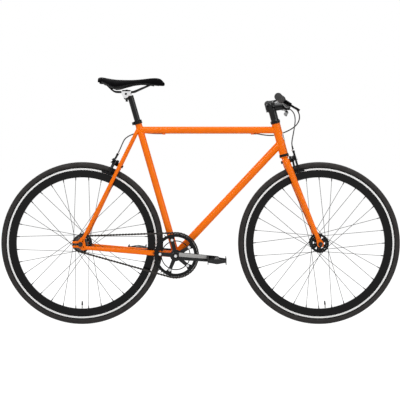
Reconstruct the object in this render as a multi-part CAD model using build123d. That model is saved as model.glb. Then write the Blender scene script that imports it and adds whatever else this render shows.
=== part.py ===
from build123d import *
import os
from math import acos, asin, atan2, cos, degrees, pi, radians, sin, sqrt, tan

# Single-speed city bicycle, millimetres. The origin lies on the ground midway between the
# axles, +X points forward, +Z up, and the drive side faces -Y.

# ---- wheels ----
WHEELBASE = 991.0
TYRE_HALF_WIDTH = 14.0
TYRE_WALL = 3.0
RIM_R = 317.5
TYRE_HEIGHT = 21.5
RIM_HALF_WIDTH = 10.0
BRAKE_TRACK = 11.0
RIM_DEPTH = 43.0
RIM_TIP_HALF_WIDTH = 3.5
RIM_WALL = 1.6
RIM_BED_DROP = 7.5
SPOKES = 32
SPOKE_R = 1.0
CROSSES = 3
FLANGE_R = 38.0
FLANGE_THICKNESS = 3.0
SPOKE_CIRCLE_R = 33.5
HUB_BARREL_R = 15.0
HUB_WINDOWS = 6
HUB_WINDOW_INNER_HALF = 4.5
HUB_WINDOW_OUTER_HALF = 9.5
FRONT_WHEEL_TURN = 5.6
REAR_WHEEL_TURN = 0.0
FRONT_FLANGE_Y = 31.0
REAR_FLANGE_Y = 30.0
VALVE_LENGTH = 31.0
VALVE_R = 3.0

# ---- axles ----
FRONT_OLD = 100.0
REAR_OLD = 120.0
FRONT_AXLE_R = 4.5
REAR_AXLE_R = 5.0
AXLE_STUB = 18.5
AXLE_POINT = 8.0
AXLE_POINT_STEP = 0.5
AXLE_NUT_FLATS = 15.0
AXLE_NUT_HEIGHT = 9.0
RUNNING_FIT = 0.06

# ---- drive ----
CHAINRING_TEETH = 46
COG_TEETH = 16
CHAIN_PITCH = 12.7
CHAIN_LINKS = 94
TYRE_ROOM = 10.0
CHAINLINE = 43.0
ROLLER_R = 3.86
CHAIN_GAP = 1.65
PLATE_THICKNESS = 1.0
PLATE_HALF_HEIGHT = 4.1
SPROCKET_THICKNESS = 2.6
TOOTH_HEIGHT = 3.7
BOLT_CIRCLE_R = 65.0
SPIDER_ARMS = 5
SPIDER_THICKNESS = 5.5
SPIDER_CORE_R = 24.0
RING_LUG_R = 7.5
RING_BAND_INSET = 11.0
CHAINRING_BOLT_R = 4.0
CHAINRING_BOLT_HEAD_R = 5.5
CRANK_LENGTH = 170.0
CRANK_DROP_ANGLE = 4.6
CRANK_INNER_Y = 57.0
CRANK_THICKNESS = 13.0
CRANK_BOSS_R = 16.0
CRANK_EYE_R = 12.5
SPINDLE_R = 8.5
SPINDLE_HALF = 62.0
BB_SHELL_R = 20.0
BB_SHELL_HALF = 34.0
BB_CUP_R = 17.0
BB_DROP = 47.0
COG_SEAT_R = 17.0
PEDAL_LENGTH = 76.0
PEDAL_WIDTH = 84.0
PEDAL_AXLE_R = 5.0
PEDAL_GAP = 5.0

# ---- frame tubes ----
TUBE_WALL = 1.1
SEAT_ANGLE = 73.9
SEAT_TUBE_R = 14.3
SEAT_TUBE_STANDOUT = 37.0
HEAD_ANGLE = 75.3
HEAD_TUBE_R = 18.0
HEAD_TUBE_LENGTH = 132.0
HEAD_TUBE_WALL = 1.6
FORK_OVER_TYRE = 58.4
FORK_RAKE = 48.2
TOP_TUBE_RISE = 100.84
TOP_TUBE_R = 14.3
DOWN_TUBE_R = 15.9
DOWN_TUBE_RISE = 48.5
STAY_TOP_Y = 6.0
STAY_MEET_RISE = 13.0
STAY_ROOT_HEIGHT = 24.0
STAY_TIP_HEIGHT = 15.0
STAY_WIDTH = 15.0
SEAT_STAY_R = 8.0
STAY_TIP_R = 7.0
DROPOUT_THICKNESS = 6.0
BRIDGE_OVER_TYRE = 21.0
BRIDGE_R = 7.0

# ---- steering ----
STEERER_R = 14.3
CUP_R = 21.0
CUP_HEIGHT = 10.0
HEADSET_GAP = 0.3
COVER_HEIGHT = 7.0
SPACER_R = 16.5
SPACER_STACK = 34.0
STEM_HEIGHT = 34.0
STEM_R = 18.5
STEM_REACH = 60.7
STEM_DROP = 8.5
BAR_R = 11.1
BAR_CLAMP_R = 12.7
BAR_CLAMP_HALF = 36.0
BAR_WALL = 2.0
FACEPLATE_HALF = 21.0
BAR_HALF_WIDTH = 300.0
BAR_SWEEP = 57.0
BAR_RISE = 23.0
BAR_KNEE_Y = 44.0
BAR_SHOULDER = (-22.0, 105.0, 18.0)
GRIP_LENGTH = 122.0
GRIP_R = 15.5
BLADE_R = 14.0
BLADE_TIP_R = 8.0
CROWN_HALF = 34.0
CROWN_BEND = 22.0
FORK_END_THICKNESS = 5.5
FORK_END_R = 14.0
BLADE_START = 36.0
BLADE_STOP = 24.0

# ---- seat ----
POST_R = 12.7
POST_LENGTH = 292.0
POST_RISE = 143.0
POST_WALL = 2.0
SETBACK = 20.0
CLAMP_FORWARD = 5.0
CLAMP_BODY_R = 12.0
SADDLE_NOSE_REACH = 158.0
RAIL_R = 3.5
RAIL_Y = 22.0
RAIL_RISE = 16.0
RAIL_SWEEP = 35.0

# ---- brakes and cables ----
HOUSING_R = 2.5
WIRE_R = 0.8
CABLE_LINE_Y = 10.5
CABLE_LINE_DROP = 15.0
FRONT_STOP_X = 223.0
REAR_STOP_X = -160.0
STOP_LENGTH = 12.0
LEVER_FROM_GRIP = 20.0
LEVER_PITCH = 33.0
LEVER_PIVOT = (2.0, 34.0)
LEVER_BARREL_Y = 26.0
LEVER_PIN_R = 2.5
CROWN_BOLT_DROP = 4.5
BOLT_R = 3.0
PAD_GAP = 1.5
PAD_X = 27.0
PAD_HALF_HEIGHT = 4.6
PAD_HALF_ANGLE = 4.4
PAD_THICKNESS = 8.0
ARM_THICKNESS = 8.0
ARM_WIDTH = 11.0
BRACKET_DEPTH = 13.5
BRAKE_WASHER = 4.0
ARM_CLEARANCE = 0.3
BARREL_TOP = 46.0
BARREL_R = 4.4
SIDE_PIVOT = (15.0, 12.0)
CABLE_SIDE = 26.0

BASE = (Align.CENTER, Align.CENTER, Align.MIN)
Y_AXIS = Vector(0, 1, 0)


# ---- reference geometry ----

def pitch_radius(teeth):
    return CHAIN_PITCH / (2 * sin(pi / teeth))


def links_for(distance):
    """Chain links that close round both sprockets at a centre distance."""
    step = pitch_radius(CHAINRING_TEETH) - pitch_radius(COG_TEETH)
    tilt = asin(step / distance)
    straights = 2 * sqrt(distance ** 2 - step ** 2) / CHAIN_PITCH
    wraps = (pi + 2 * tilt) * CHAINRING_TEETH + (pi - 2 * tilt) * COG_TEETH
    return straights + wraps / (2 * pi)


def chain_centres(links):
    """Centre distance at which the loop holds exactly this many links."""
    near = pitch_radius(CHAINRING_TEETH)
    far = links * CHAIN_PITCH / 2
    for _ in range(60):
        middle = (near + far) / 2
        if links_for(middle) < links:
            near = middle
        else:
            far = middle
    return near


def tyre_room(links):
    """Room between the rear tyre and the seat tube with this many chain links."""
    reach = sqrt(chain_centres(links) ** 2 - BB_DROP ** 2)
    lean = radians(SEAT_ANGLE)
    return reach * sin(lean) - BB_DROP * cos(lean) - SEAT_TUBE_R - WHEEL_R


def whole_links():
    """CHAIN_LINKS, with pairs added while the tyre would come too near the seat tube."""
    links = CHAIN_LINKS
    while tyre_room(links) < TYRE_ROOM:
        links += 2
    return links


WHEEL_R = RIM_R + TYRE_HEIGHT
LINKS = whole_links()
CENTRES = chain_centres(LINKS)
FORK_LENGTH = WHEEL_R + FORK_OVER_TYRE
BRIDGE_RADIUS = WHEEL_R + BRIDGE_OVER_TYRE
LEVER_Y = BAR_HALF_WIDTH - GRIP_LENGTH - LEVER_FROM_GRIP
REAR_AXLE = Vector(-WHEELBASE / 2, 0, WHEEL_R)
FRONT_AXLE = Vector(WHEELBASE / 2, 0, WHEEL_R)
BB = REAR_AXLE + Vector(sqrt(CENTRES ** 2 - BB_DROP ** 2), 0, -BB_DROP)
SEAT_UP = Vector(-cos(radians(SEAT_ANGLE)), 0, sin(radians(SEAT_ANGLE)))
HEAD_UP = Vector(-cos(radians(HEAD_ANGLE)), 0, sin(radians(HEAD_ANGLE)))
HEAD_FORWARD = Vector(sin(radians(HEAD_ANGLE)), 0, cos(radians(HEAD_ANGLE)))
HEAD_BASE = FRONT_AXLE - HEAD_FORWARD * FORK_RAKE + HEAD_UP * FORK_LENGTH
HEAD = Plane(origin=HEAD_BASE, x_dir=HEAD_FORWARD, z_dir=HEAD_UP)
TOP_TUBE_Z = HEAD_BASE.Z + TOP_TUBE_RISE
SEAT_TUBE_LENGTH = (TOP_TUBE_Z - BB.Z) / SEAT_UP.Z + SEAT_TUBE_STANDOUT
POST_TOP_Z = TOP_TUBE_Z + POST_RISE
RAIL_Z = POST_TOP_Z + RAIL_RISE
RAIL_END_Z = RAIL_Z + RAIL_SWEEP
COVER_TOP = HEAD_TUBE_LENGTH + CUP_HEIGHT + HEADSET_GAP + COVER_HEIGHT
STEM_BASE = COVER_TOP + SPACER_STACK
CROWN_DROP = CUP_HEIGHT + HEADSET_GAP + 3.5 + BLADE_R
STEM_CENTRE = STEM_BASE + STEM_HEIGHT / 2


def head_point(forward, side, along):
    """Point given along the steering axis from the head tube's lower face."""
    return HEAD.from_local_coords(Vector(forward, side, along))


BAR_CENTRE = head_point(STEM_REACH, 0, STEM_CENTRE - STEM_DROP)


def seat_point(height):
    """Point on the seat tube's axis at a height above the ground."""
    return BB + SEAT_UP * ((height - BB.Z) / SEAT_UP.Z)


def rod(start, end, radius, end_radius=None):
    """Round bar between two points, tapered when an end radius is given."""
    run = end - start
    plane = Plane(origin=start, z_dir=run)
    if end_radius is None or end_radius == radius:
        return plane * Cylinder(radius, run.length, align=BASE)
    return plane * Cone(radius, end_radius, run.length, align=BASE)


def pipe(start, end, radius, wall, end_radius=None):
    """Round tube between two points, tapered when an end radius is given."""
    tip = radius if end_radius is None else end_radius
    return rod(start, end, radius, tip) - rod(start, end, radius - wall, tip - wall)


def across(centre, y_low, y_high, radius):
    """Round bar across the bicycle through a centre in the X-Z plane."""
    return rod(Vector(centre.X, y_low, centre.Z), Vector(centre.X, y_high, centre.Z), radius)


def ring(centre, y_low, y_high, radius, bore):
    """Washer or bush across the bicycle."""
    return across(centre, y_low, y_high, radius) - across(centre, y_low, y_high, bore)


def plate(sketch, centre, y_low, y_high):
    """Extrude a sketch drawn in X-Z about a centre between two lateral stations."""
    face = Plane(origin=(centre.X, y_high, centre.Z), x_dir=(1, 0, 0), z_dir=(0, -1, 0))
    return extrude(face * sketch, y_high - y_low)


def hex_across(centre, y_low, y_high, flats):
    """Hexagonal nut body across the bicycle."""
    return plate(RegularPolygon(flats / 2, 6, major_radius=False), centre, y_low, y_high)


def swept(path, radius, wall=0.0):
    """Round section swept along a path, hollow when a wall is given."""
    face = Plane(origin=path @ 0, z_dir=path % 0)
    section = Circle(radius)
    if wall:
        section -= Circle(radius - wall)
    return sweep(face * section, path=path)


def both_sides(shape):
    """The shape and its mirror image across the bicycle's middle plane."""
    return [shape, mirror(shape, about=Plane.XZ)]


def outer_seat_tube():
    return rod(BB, BB + SEAT_UP * SEAT_TUBE_LENGTH, SEAT_TUBE_R)


def outer_head_tube():
    return rod(HEAD_BASE, head_point(0, 0, HEAD_TUBE_LENGTH), HEAD_TUBE_R)


def outer_shell():
    return across(BB, -BB_SHELL_HALF, BB_SHELL_HALF, BB_SHELL_R)


# ---- frame ----

def head_tube():
    return pipe(HEAD_BASE, head_point(0, 0, HEAD_TUBE_LENGTH), HEAD_TUBE_R, HEAD_TUBE_WALL)


def seat_tube():
    """Tube from the bottom bracket shell, reamed for the seatpost."""
    top = BB + SEAT_UP * SEAT_TUBE_LENGTH
    bore = rod(BB, top, POST_R + RUNNING_FIT)
    return rod(BB, top, SEAT_TUBE_R) - bore - outer_shell()


def top_tube():
    drop = (TOP_TUBE_Z - HEAD_BASE.Z) / HEAD_UP.Z
    tube = pipe(seat_point(TOP_TUBE_Z), head_point(0, 0, drop), TOP_TUBE_R, TUBE_WALL)
    return tube - outer_seat_tube() - outer_head_tube()


def down_tube():
    tube = pipe(BB, head_point(0, 0, DOWN_TUBE_RISE), DOWN_TUBE_R, TUBE_WALL)
    return tube - outer_shell() - outer_seat_tube() - outer_head_tube()


def bottom_bracket_shell():
    return ring(BB, -BB_SHELL_HALF, BB_SHELL_HALF, BB_SHELL_R, BB_CUP_R)


def bottom_bracket_cups():
    """Screwed cups with their flanges, bored to run on the spindle."""
    bore = SPINDLE_R + RUNNING_FIT
    cup = ring(BB, BB_SHELL_HALF - 20, BB_SHELL_HALF, BB_CUP_R, bore)
    flange = ring(BB, BB_SHELL_HALF, BB_SHELL_HALF + 3.5, BB_SHELL_R - 1, bore)
    return Compound(children=both_sides(cup + flange))


DROPOUT_Y = REAR_OLD / 2 + DROPOUT_THICKNESS / 2
CHAIN_STAY_TIP = REAR_AXLE + Vector(20, DROPOUT_Y, -14.5)
SEAT_STAY_RUN = seat_point(TOP_TUBE_Z + STAY_MEET_RISE) - REAR_AXLE
SEAT_STAY_UP = SEAT_STAY_RUN.normalized()
SEAT_STAY_TIP = REAR_AXLE + SEAT_STAY_UP * 24 + Y_AXIS * DROPOUT_Y
SEAT_STAY_TOP = REAR_AXLE + SEAT_STAY_RUN + Y_AXIS * STAY_TOP_Y


CHAIN_STAY_ROOT = BB + Vector(-10, 20.5, 0.5)


def stay_solid(inset):
    """Tapered stay with flattened sides, drawn smaller all round by the inset."""
    run = CHAIN_STAY_TIP - CHAIN_STAY_ROOT
    plane = Plane(origin=CHAIN_STAY_ROOT, x_dir=Y_AXIS, z_dir=run)
    cone = plane * Cone(STAY_ROOT_HEIGHT / 2 - inset, STAY_TIP_HEIGHT / 2 - inset, run.length,
                        align=BASE)
    slab = Box(STAY_WIDTH - 2 * inset, 2 * STAY_ROOT_HEIGHT, 2 * run.length)
    return cone & (plane * slab)


def chain_stay():
    """Left stay from the shell to the dropout."""
    return stay_solid(0) - stay_solid(TUBE_WALL) - outer_shell() - outer_seat_tube()


def chain_stays():
    """Both stays and the short bridge tube between them."""
    skin = stay_solid(0)
    bridge = across(BB + Vector(-36, 0, 3), -22, 22, 5) - skin - mirror(skin, about=Plane.XZ)
    return Compound(children=both_sides(chain_stay()) + [bridge])


def outer_seat_stay():
    return rod(SEAT_STAY_TIP, SEAT_STAY_TOP, STAY_TIP_R, SEAT_STAY_R)


def bridge_centre():
    return REAR_AXLE + SEAT_STAY_UP * BRIDGE_RADIUS


def seat_stays():
    """Tapered stays that meet behind the seat tube, with the brake bridge."""
    hollow = rod(SEAT_STAY_TIP, SEAT_STAY_TOP, STAY_TIP_R - TUBE_WALL, SEAT_STAY_R - TUBE_WALL)
    other_half = Pos(REAR_AXLE.X, -500, REAR_AXLE.Z) * Box(2000, 1000, 2000)
    stay = outer_seat_stay() - hollow - outer_seat_tube() - other_half
    bridge = across(bridge_centre(), -40, 40, BRIDGE_R)
    for side in both_sides(outer_seat_stay()):
        bridge -= side
    bridge = max(bridge.solids(), key=lambda piece: -abs(piece.center().Y))
    bridge = Part(bridge.wrapped) - bolt_hole(rear_brake_mount(), -2 * BRIDGE_R)
    return Compound(children=both_sides(stay) + [bridge])


def dropouts():
    """Track fork-ends: slot open to the rear, two small windows ahead of it."""
    outline = Polyline([(20, -24), (22, -6), (15, 30), (3, 29), (-9, 14), (-33, 12.5),
                        (-33, -12.5), (-7, -13), (7, -24)], close=True)
    blank = make_face(outline)
    slot = Pos(-20, 0) * Rectangle(48, 2 * REAR_AXLE_R) + Pos(4, 0) * Circle(REAR_AXLE_R)
    upper = make_face(Polyline([(12, 5), (7, 12), (11, 20)], close=True))
    lower = make_face(Polyline([(10, -9), (15, -7), (15, -16)], close=True))
    end = plate(blank - slot - upper - lower, REAR_AXLE,
                REAR_OLD / 2, REAR_OLD / 2 + DROPOUT_THICKNESS)
    return Compound(children=both_sides(end - outer_seat_stay() - stay_solid(0)))


def headset_cups():
    """Upper and lower cups pressed into the head tube."""
    bore = STEERER_R + RUNNING_FIT
    skirt = HEAD_TUBE_R - HEAD_TUBE_WALL
    upper = rod(head_point(0, 0, HEAD_TUBE_LENGTH),
                head_point(0, 0, HEAD_TUBE_LENGTH + CUP_HEIGHT), CUP_R - 1.5, CUP_R)
    upper += rod(head_point(0, 0, HEAD_TUBE_LENGTH - 12), head_point(0, 0, HEAD_TUBE_LENGTH), skirt)
    lower = rod(head_point(0, 0, -CUP_HEIGHT), HEAD_BASE, CUP_R, CUP_R - 1.5)
    lower += rod(HEAD_BASE, head_point(0, 0, 12), skirt)
    through = rod(head_point(0, 0, -40), head_point(0, 0, HEAD_TUBE_LENGTH + 40), bore)
    return Compound(children=[upper - through, lower - through])


def seat_collar():
    """Clamp band at the seat tube's top with a split lug and its bolt."""
    low = SEAT_TUBE_LENGTH - 11
    high = SEAT_TUBE_LENGTH + 4
    plane = Plane(origin=BB + SEAT_UP * low, x_dir=(0, 1, 0), z_dir=SEAT_UP)
    band = plane * Cylinder(SEAT_TUBE_R + 3.2, high - low, align=BASE)
    lug = plane * Pos(0, SEAT_TUBE_R + 5, (high - low) / 2) * Box(16, 11, high - low - 3)
    split = plane * Pos(0, SEAT_TUBE_R + 6, (high - low) / 2) * Box(1.5, 16, 2 * (high - low))
    bolt = plane * Pos(0, SEAT_TUBE_R + 6, (high - low) / 2) * Rot(0, 90, 0) * Cylinder(2.5, 24)
    bore = rod(BB, BB + SEAT_UP * (SEAT_TUBE_LENGTH + 20), SEAT_TUBE_R)
    return Compound(children=[band + lug - split - bore - bolt, bolt])


CABLE_LINE = Vector(0, CABLE_LINE_Y, TOP_TUBE_Z - CABLE_LINE_DROP)


def cable_stops():
    """Ferrule stops low on the left side of the top tube, drilled for the wire."""
    stops = []
    tube = rod(seat_point(TOP_TUBE_Z), Vector(HEAD_BASE.X, 0, TOP_TUBE_Z), TOP_TUBE_R)
    for face, inward in ((FRONT_STOP_X, -1), (REAR_STOP_X, 1)):
        start = CABLE_LINE + Vector(face, 0, 0)
        end = start + Vector(inward * STOP_LENGTH, 0, 0)
        foot = Vector((start.X + end.X) / 2, CABLE_LINE.Y / 2, CABLE_LINE.Z + 5)
        body = rod(start, end, HOUSING_R + 1.5)
        body += Pos(foot) * Rot(35, 0, 0) * Box(STOP_LENGTH - 2, 7, 12)
        stops.append(body - tube - rod(start, end, WIRE_R + 0.2))
    return Compound(children=stops)


# ---- wheels ----

def tyre(axle):
    """Slick tyre: round casing whose beads sit between the rim's flanges."""
    crown = WHEEL_R - TYRE_HALF_WIDTH
    bead = RIM_HALF_WIDTH - RIM_WALL
    seat = RIM_R - RIM_BED_DROP
    shoulder = RIM_R + 1.0
    dip = sqrt(TYRE_HALF_WIDTH ** 2 - (crown - shoulder) ** 2)
    outline = Polyline([(seat, -bead), (shoulder, -bead), (shoulder, -dip)])
    casing = ThreePointArc((shoulder, -dip), (WHEEL_R, 0), (shoulder, dip))
    closing = Polyline([(shoulder, dip), (shoulder, bead), (seat, bead), (seat, -bead)])
    section = make_face([outline, casing, closing])
    air = Pos(crown + 1, 0) * RegularPolygon(TYRE_HALF_WIDTH - TYRE_WALL - 1, 6)
    return revolved(section - air, axle)


def revolved(section, axle):
    """Revolve a section drawn as (radius, lateral) about the wheel's axis."""
    plane = Plane(origin=axle, x_dir=(1, 0, 0), z_dir=(0, 0, 1))
    return revolve(plane * section, Axis(axle, Y_AXIS))


def rim(axle):
    """Deep box-section rim with flat brake tracks and a hollow keel."""
    low = RIM_R - BRAKE_TRACK
    tip = RIM_R - RIM_DEPTH
    bed = RIM_R - RIM_BED_DROP
    wide = RIM_HALF_WIDTH
    inner = wide - RIM_WALL
    outline = Polyline([(RIM_R, wide), (RIM_R, inner), (bed, inner), (bed, -inner),
                        (RIM_R, -inner), (RIM_R, -wide), (low, -wide),
                        (tip, -RIM_TIP_HALF_WIDTH), (tip, RIM_TIP_HALF_WIDTH), (low, wide)],
                       close=True)
    cavity = Polyline([(bed - RIM_WALL, inner), (bed - RIM_WALL, -inner),
                       (tip + RIM_WALL, 1.6 - RIM_TIP_HALF_WIDTH),
                       (tip + RIM_WALL, RIM_TIP_HALF_WIDTH - 1.6)], close=True)
    return revolved(make_face(outline) - make_face(cavity), axle)


def hub(axle, flange_y, end_y, bore, seat_y=0.0):
    """High-flange hub shell with trapezoid windows, bored to run on its axle."""
    shell = across(axle, -end_y, end_y, HUB_BARREL_R - 3)
    shell += across(axle, -flange_y, flange_y, HUB_BARREL_R)
    low, high = HUB_BARREL_R + 1.5, SPOKE_CIRCLE_R - 4.5
    narrow, wide = HUB_WINDOW_INNER_HALF, HUB_WINDOW_OUTER_HALF
    window = make_face(Polyline([(low, narrow), (low, -narrow), (high, -wide), (high, wide)],
                                close=True))
    disc = Circle(FLANGE_R) - Circle(HUB_BARREL_R - 4)
    for turn in range(HUB_WINDOWS):
        disc -= Rot(0, 0, turn * 360 / HUB_WINDOWS) * window
    for side in (-1, 1):
        y = side * flange_y
        shell += plate(disc, axle, y - FLANGE_THICKNESS / 2, y + FLANGE_THICKNESS / 2)
    if seat_y:
        shell += across(axle, -seat_y, -flange_y, COG_SEAT_R)
    return shell - across(axle, -end_y, end_y, bore)


def spokes(axle, flange_y, turn):
    """Tangential lacing: alternate holes lead and trail on opposite flange faces."""
    pieces = []
    lean = 360.0 * CROSSES / (SPOKES / 2)
    beside = FLANGE_THICKNESS / 2 + SPOKE_R + 0.05
    over_edge = beside + 2.0
    reach = RIM_R - RIM_DEPTH - 0.2
    for k in range(SPOKES):
        side = 1 if k % 2 else -1
        leading = 1 if k % 4 < 2 else -1
        rim_angle = radians(270 + turn + (k + 0.5) * 360 / SPOKES)
        hub_angle = rim_angle + radians(leading * lean)
        face = side * (flange_y + (over_edge if leading > 0 else -beside))
        near = Vector(SPOKE_CIRCLE_R * cos(hub_angle), face, SPOKE_CIRCLE_R * sin(hub_angle))
        far = Vector(reach * cos(rim_angle), side * (1.1 + 1.1 * leading), reach * sin(rim_angle))
        run = far - near
        plane = Plane(origin=axle + near, z_dir=run)
        pieces.append(extrude(plane * RegularPolygon(SPOKE_R, 6), run.length))
    return Compound(children=pieces)


def valve(axle, turn):
    """Valve stem and cap standing out of the rim near the bottom."""
    inward = Vector(-sin(radians(turn)), 0, cos(radians(turn)))
    root = axle - inward * (RIM_R - RIM_DEPTH - 0.05)
    neck = root + inward * (VALVE_LENGTH / 2)
    stem = rod(root, neck, VALVE_R)
    cap = rod(neck, root + inward * VALVE_LENGTH, VALVE_R + 0.6, VALVE_R - 0.4)
    return Compound(children=[stem, cap])


def axle_set(axle, old, radius, clamp, inner_y):
    """Axle with its locknuts inside and track nuts outside the fork-ends."""
    half = old / 2 + clamp + AXLE_STUB
    thread = half - AXLE_POINT
    bar = across(axle, -thread, thread, radius)
    pieces = [bar + across(axle, -half, half, radius - AXLE_POINT_STEP)]
    outer = old / 2 + clamp
    for side in (-1, 1):
        spans = sorted((side * inner_y, side * old / 2))
        pieces.append(ring(axle, spans[0], spans[1], radius + 3.5, radius))
        washer = sorted((side * outer, side * (outer + 1.5)))
        nut = sorted((side * (outer + 1.5), side * (outer + 1.5 + AXLE_NUT_HEIGHT)))
        seat = ring(axle, washer[0], washer[1], radius + 5, radius)
        body = hex_across(axle, nut[0], nut[1], AXLE_NUT_FLATS)
        pieces.append(seat + body - across(axle, nut[0], nut[1], radius))
    return Compound(children=pieces)


# ---- drive ----

LINE_ANGLE = atan2(REAR_AXLE.Z - BB.Z, REAR_AXLE.X - BB.X)
TANGENT = acos((pitch_radius(CHAINRING_TEETH) - pitch_radius(COG_TEETH)) / CENTRES)
RING_STEP = 2 * pi / CHAINRING_TEETH
COG_STEP = 2 * pi / COG_TEETH
RING_LINKS = (2 * pi - 2 * TANGENT) / RING_STEP
COG_LINKS = 2 * TANGENT / COG_STEP
RUN_LINKS = (LINKS - RING_LINKS - COG_LINKS) / 2


def on_circle(centre, radius, angle):
    return centre + Vector(radius * cos(angle), 0, radius * sin(angle))


def chain_point(station):
    """Pin centre at a station counted in links from the upper tangent, clockwise."""
    top, bottom = LINE_ANGLE - TANGENT, LINE_ANGLE + TANGENT
    big, small = pitch_radius(CHAINRING_TEETH), pitch_radius(COG_TEETH)
    station %= LINKS
    if station <= RING_LINKS:
        return on_circle(BB, big, top - station * RING_STEP)
    station -= RING_LINKS
    if station <= RUN_LINKS:
        start, end = on_circle(BB, big, bottom), on_circle(REAR_AXLE, small, bottom)
        return start + (end - start) * (station / RUN_LINKS)
    station -= RUN_LINKS
    if station <= COG_LINKS:
        return on_circle(REAR_AXLE, small, bottom - station * COG_STEP)
    station -= COG_LINKS
    start, end = on_circle(REAR_AXLE, small, top), on_circle(BB, big, top)
    return start + (end - start) * (station / RUN_LINKS)


def chain():
    """Roller chain: inner and outer links in turn, a roller at every pin."""
    plate_tip = CHAIN_PITCH / 2 + PLATE_HALF_HEIGHT
    shoulder = CHAIN_PITCH / 2 + 0.4 * PLATE_HALF_HEIGHT
    blunt = 0.42 * PLATE_HALF_HEIGHT
    outline = [(plate_tip, blunt), (shoulder, PLATE_HALF_HEIGHT), (-shoulder, PLATE_HALF_HEIGHT),
               (-plate_tip, blunt), (-plate_tip, -blunt), (-shoulder, -PLATE_HALF_HEIGHT),
               (shoulder, -PLATE_HALF_HEIGHT), (plate_tip, -blunt)]
    face = make_face(Polyline(outline, close=True))
    pieces = []
    for k in range(LINKS):
        pin, next_pin = chain_point(k), chain_point(k + 1)
        middle = (pin + next_pin) * 0.5
        turn = degrees(atan2(next_pin.Z - pin.Z, next_pin.X - pin.X))
        inner = CHAIN_GAP + (k % 2) * (PLATE_THICKNESS + 0.1)
        for side in (-1, 1):
            edges = sorted((side * inner - CHAINLINE, side * (inner + PLATE_THICKNESS) - CHAINLINE))
            pieces.append(plate(Rot(0, 0, turn) * face, middle, edges[0], edges[1]))
        half = CHAIN_GAP - 0.05
        pieces.append(plate(RegularPolygon(ROLLER_R, 6), pin, -half - CHAINLINE, half - CHAINLINE))
    return Compound(children=pieces)


def toothed_disc(teeth, phase):
    """Sprocket blank whose tooth gaps sit at the phase angle and its repeats."""
    root = pitch_radius(teeth) - ROLLER_R - 0.3
    tip = pitch_radius(teeth) + TOOTH_HEIGHT
    points = []
    for k in range(teeth):
        middle = phase + (k + 0.5) * 2 * pi / teeth
        for radius, half in ((root, -2.2), (tip, -0.9), (tip, 0.9), (root, 2.2)):
            angle = middle + half / radius
            points.append((radius * cos(angle), radius * sin(angle)))
    return make_face(Polyline(points, close=True))


CRANK_ANGLE = radians(-CRANK_DROP_ANGLE)
BOLT_ANGLES = [CRANK_ANGLE + radians(36 + 360 * k / SPIDER_ARMS) for k in range(SPIDER_ARMS)]
RING_INNER_Y = -CHAINLINE + SPROCKET_THICKNESS / 2
RING_OUTER_Y = -CHAINLINE - SPROCKET_THICKNESS / 2


def chainring():
    """Toothed annulus, five bolt lugs and the thin ring that joins them."""
    blank = toothed_disc(CHAINRING_TEETH, LINE_ANGLE - TANGENT)
    blank -= Circle(BOLT_CIRCLE_R + RING_BAND_INSET)
    blank += Circle(BOLT_CIRCLE_R - RING_LUG_R + 4) - Circle(BOLT_CIRCLE_R - RING_LUG_R)
    foot = Pos(RING_BAND_INSET + 2, 0) * Rectangle(2, 3.6 * RING_LUG_R)
    lug = make_hull([*Circle(RING_LUG_R).edges(), *foot.edges()])
    for angle in BOLT_ANGLES:
        blank += Rot(0, 0, degrees(angle)) * Pos(BOLT_CIRCLE_R, 0) * lug
    for angle in BOLT_ANGLES:
        blank -= Rot(0, 0, degrees(angle)) * Pos(BOLT_CIRCLE_R, 0) * Circle(CHAINRING_BOLT_R)
    return plate(blank, BB, RING_OUTER_Y, RING_INNER_Y)


def arm_outline():
    """Crank arm seen from the side: tangent hull of its boss and its pedal eye."""
    eye = Pos(CRANK_LENGTH, 0) * Circle(CRANK_EYE_R)
    return make_hull([*Circle(CRANK_BOSS_R).edges(), *eye.edges()])


def crank_arm(spin):
    """Plain crank on the left side, turned to its angle."""
    low, high = CRANK_INNER_Y, CRANK_INNER_Y + CRANK_THICKNESS
    arm = plate(Rot(0, 0, degrees(spin)) * arm_outline(), BB, low, high)
    arm += across(BB, BB_SHELL_HALF + 10, high, CRANK_BOSS_R)
    eye = on_circle(BB, CRANK_LENGTH, spin)
    return arm - across(BB, 0, high, SPINDLE_R) - across(eye, low, high, PEDAL_AXLE_R)


def crank_left():
    return crank_arm(CRANK_ANGLE + pi)


def crank_right():
    """Drive-side crank with its five-armed spider."""
    spider = Circle(SPIDER_CORE_R)
    end = Pos(BOLT_CIRCLE_R, 0) * Circle(RING_LUG_R - 0.5)
    finger = make_hull([*Circle(RING_LUG_R + 1.5).edges(), *end.edges()])
    for angle in BOLT_ANGLES:
        spider += Rot(0, 0, degrees(angle)) * finger
    for angle in BOLT_ANGLES:
        spider -= Rot(0, 0, degrees(angle)) * Pos(BOLT_CIRCLE_R, 0) * Circle(CHAINRING_BOLT_R)
    arm = mirror(crank_arm(CRANK_ANGLE), about=Plane.XZ)
    arm += plate(spider, BB, RING_OUTER_Y - SPIDER_THICKNESS, RING_OUTER_Y)
    return arm - across(BB, -SPINDLE_HALF, 0, SPINDLE_R)


def spindle():
    return across(BB, -SPINDLE_HALF, SPINDLE_HALF, SPINDLE_R)


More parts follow.
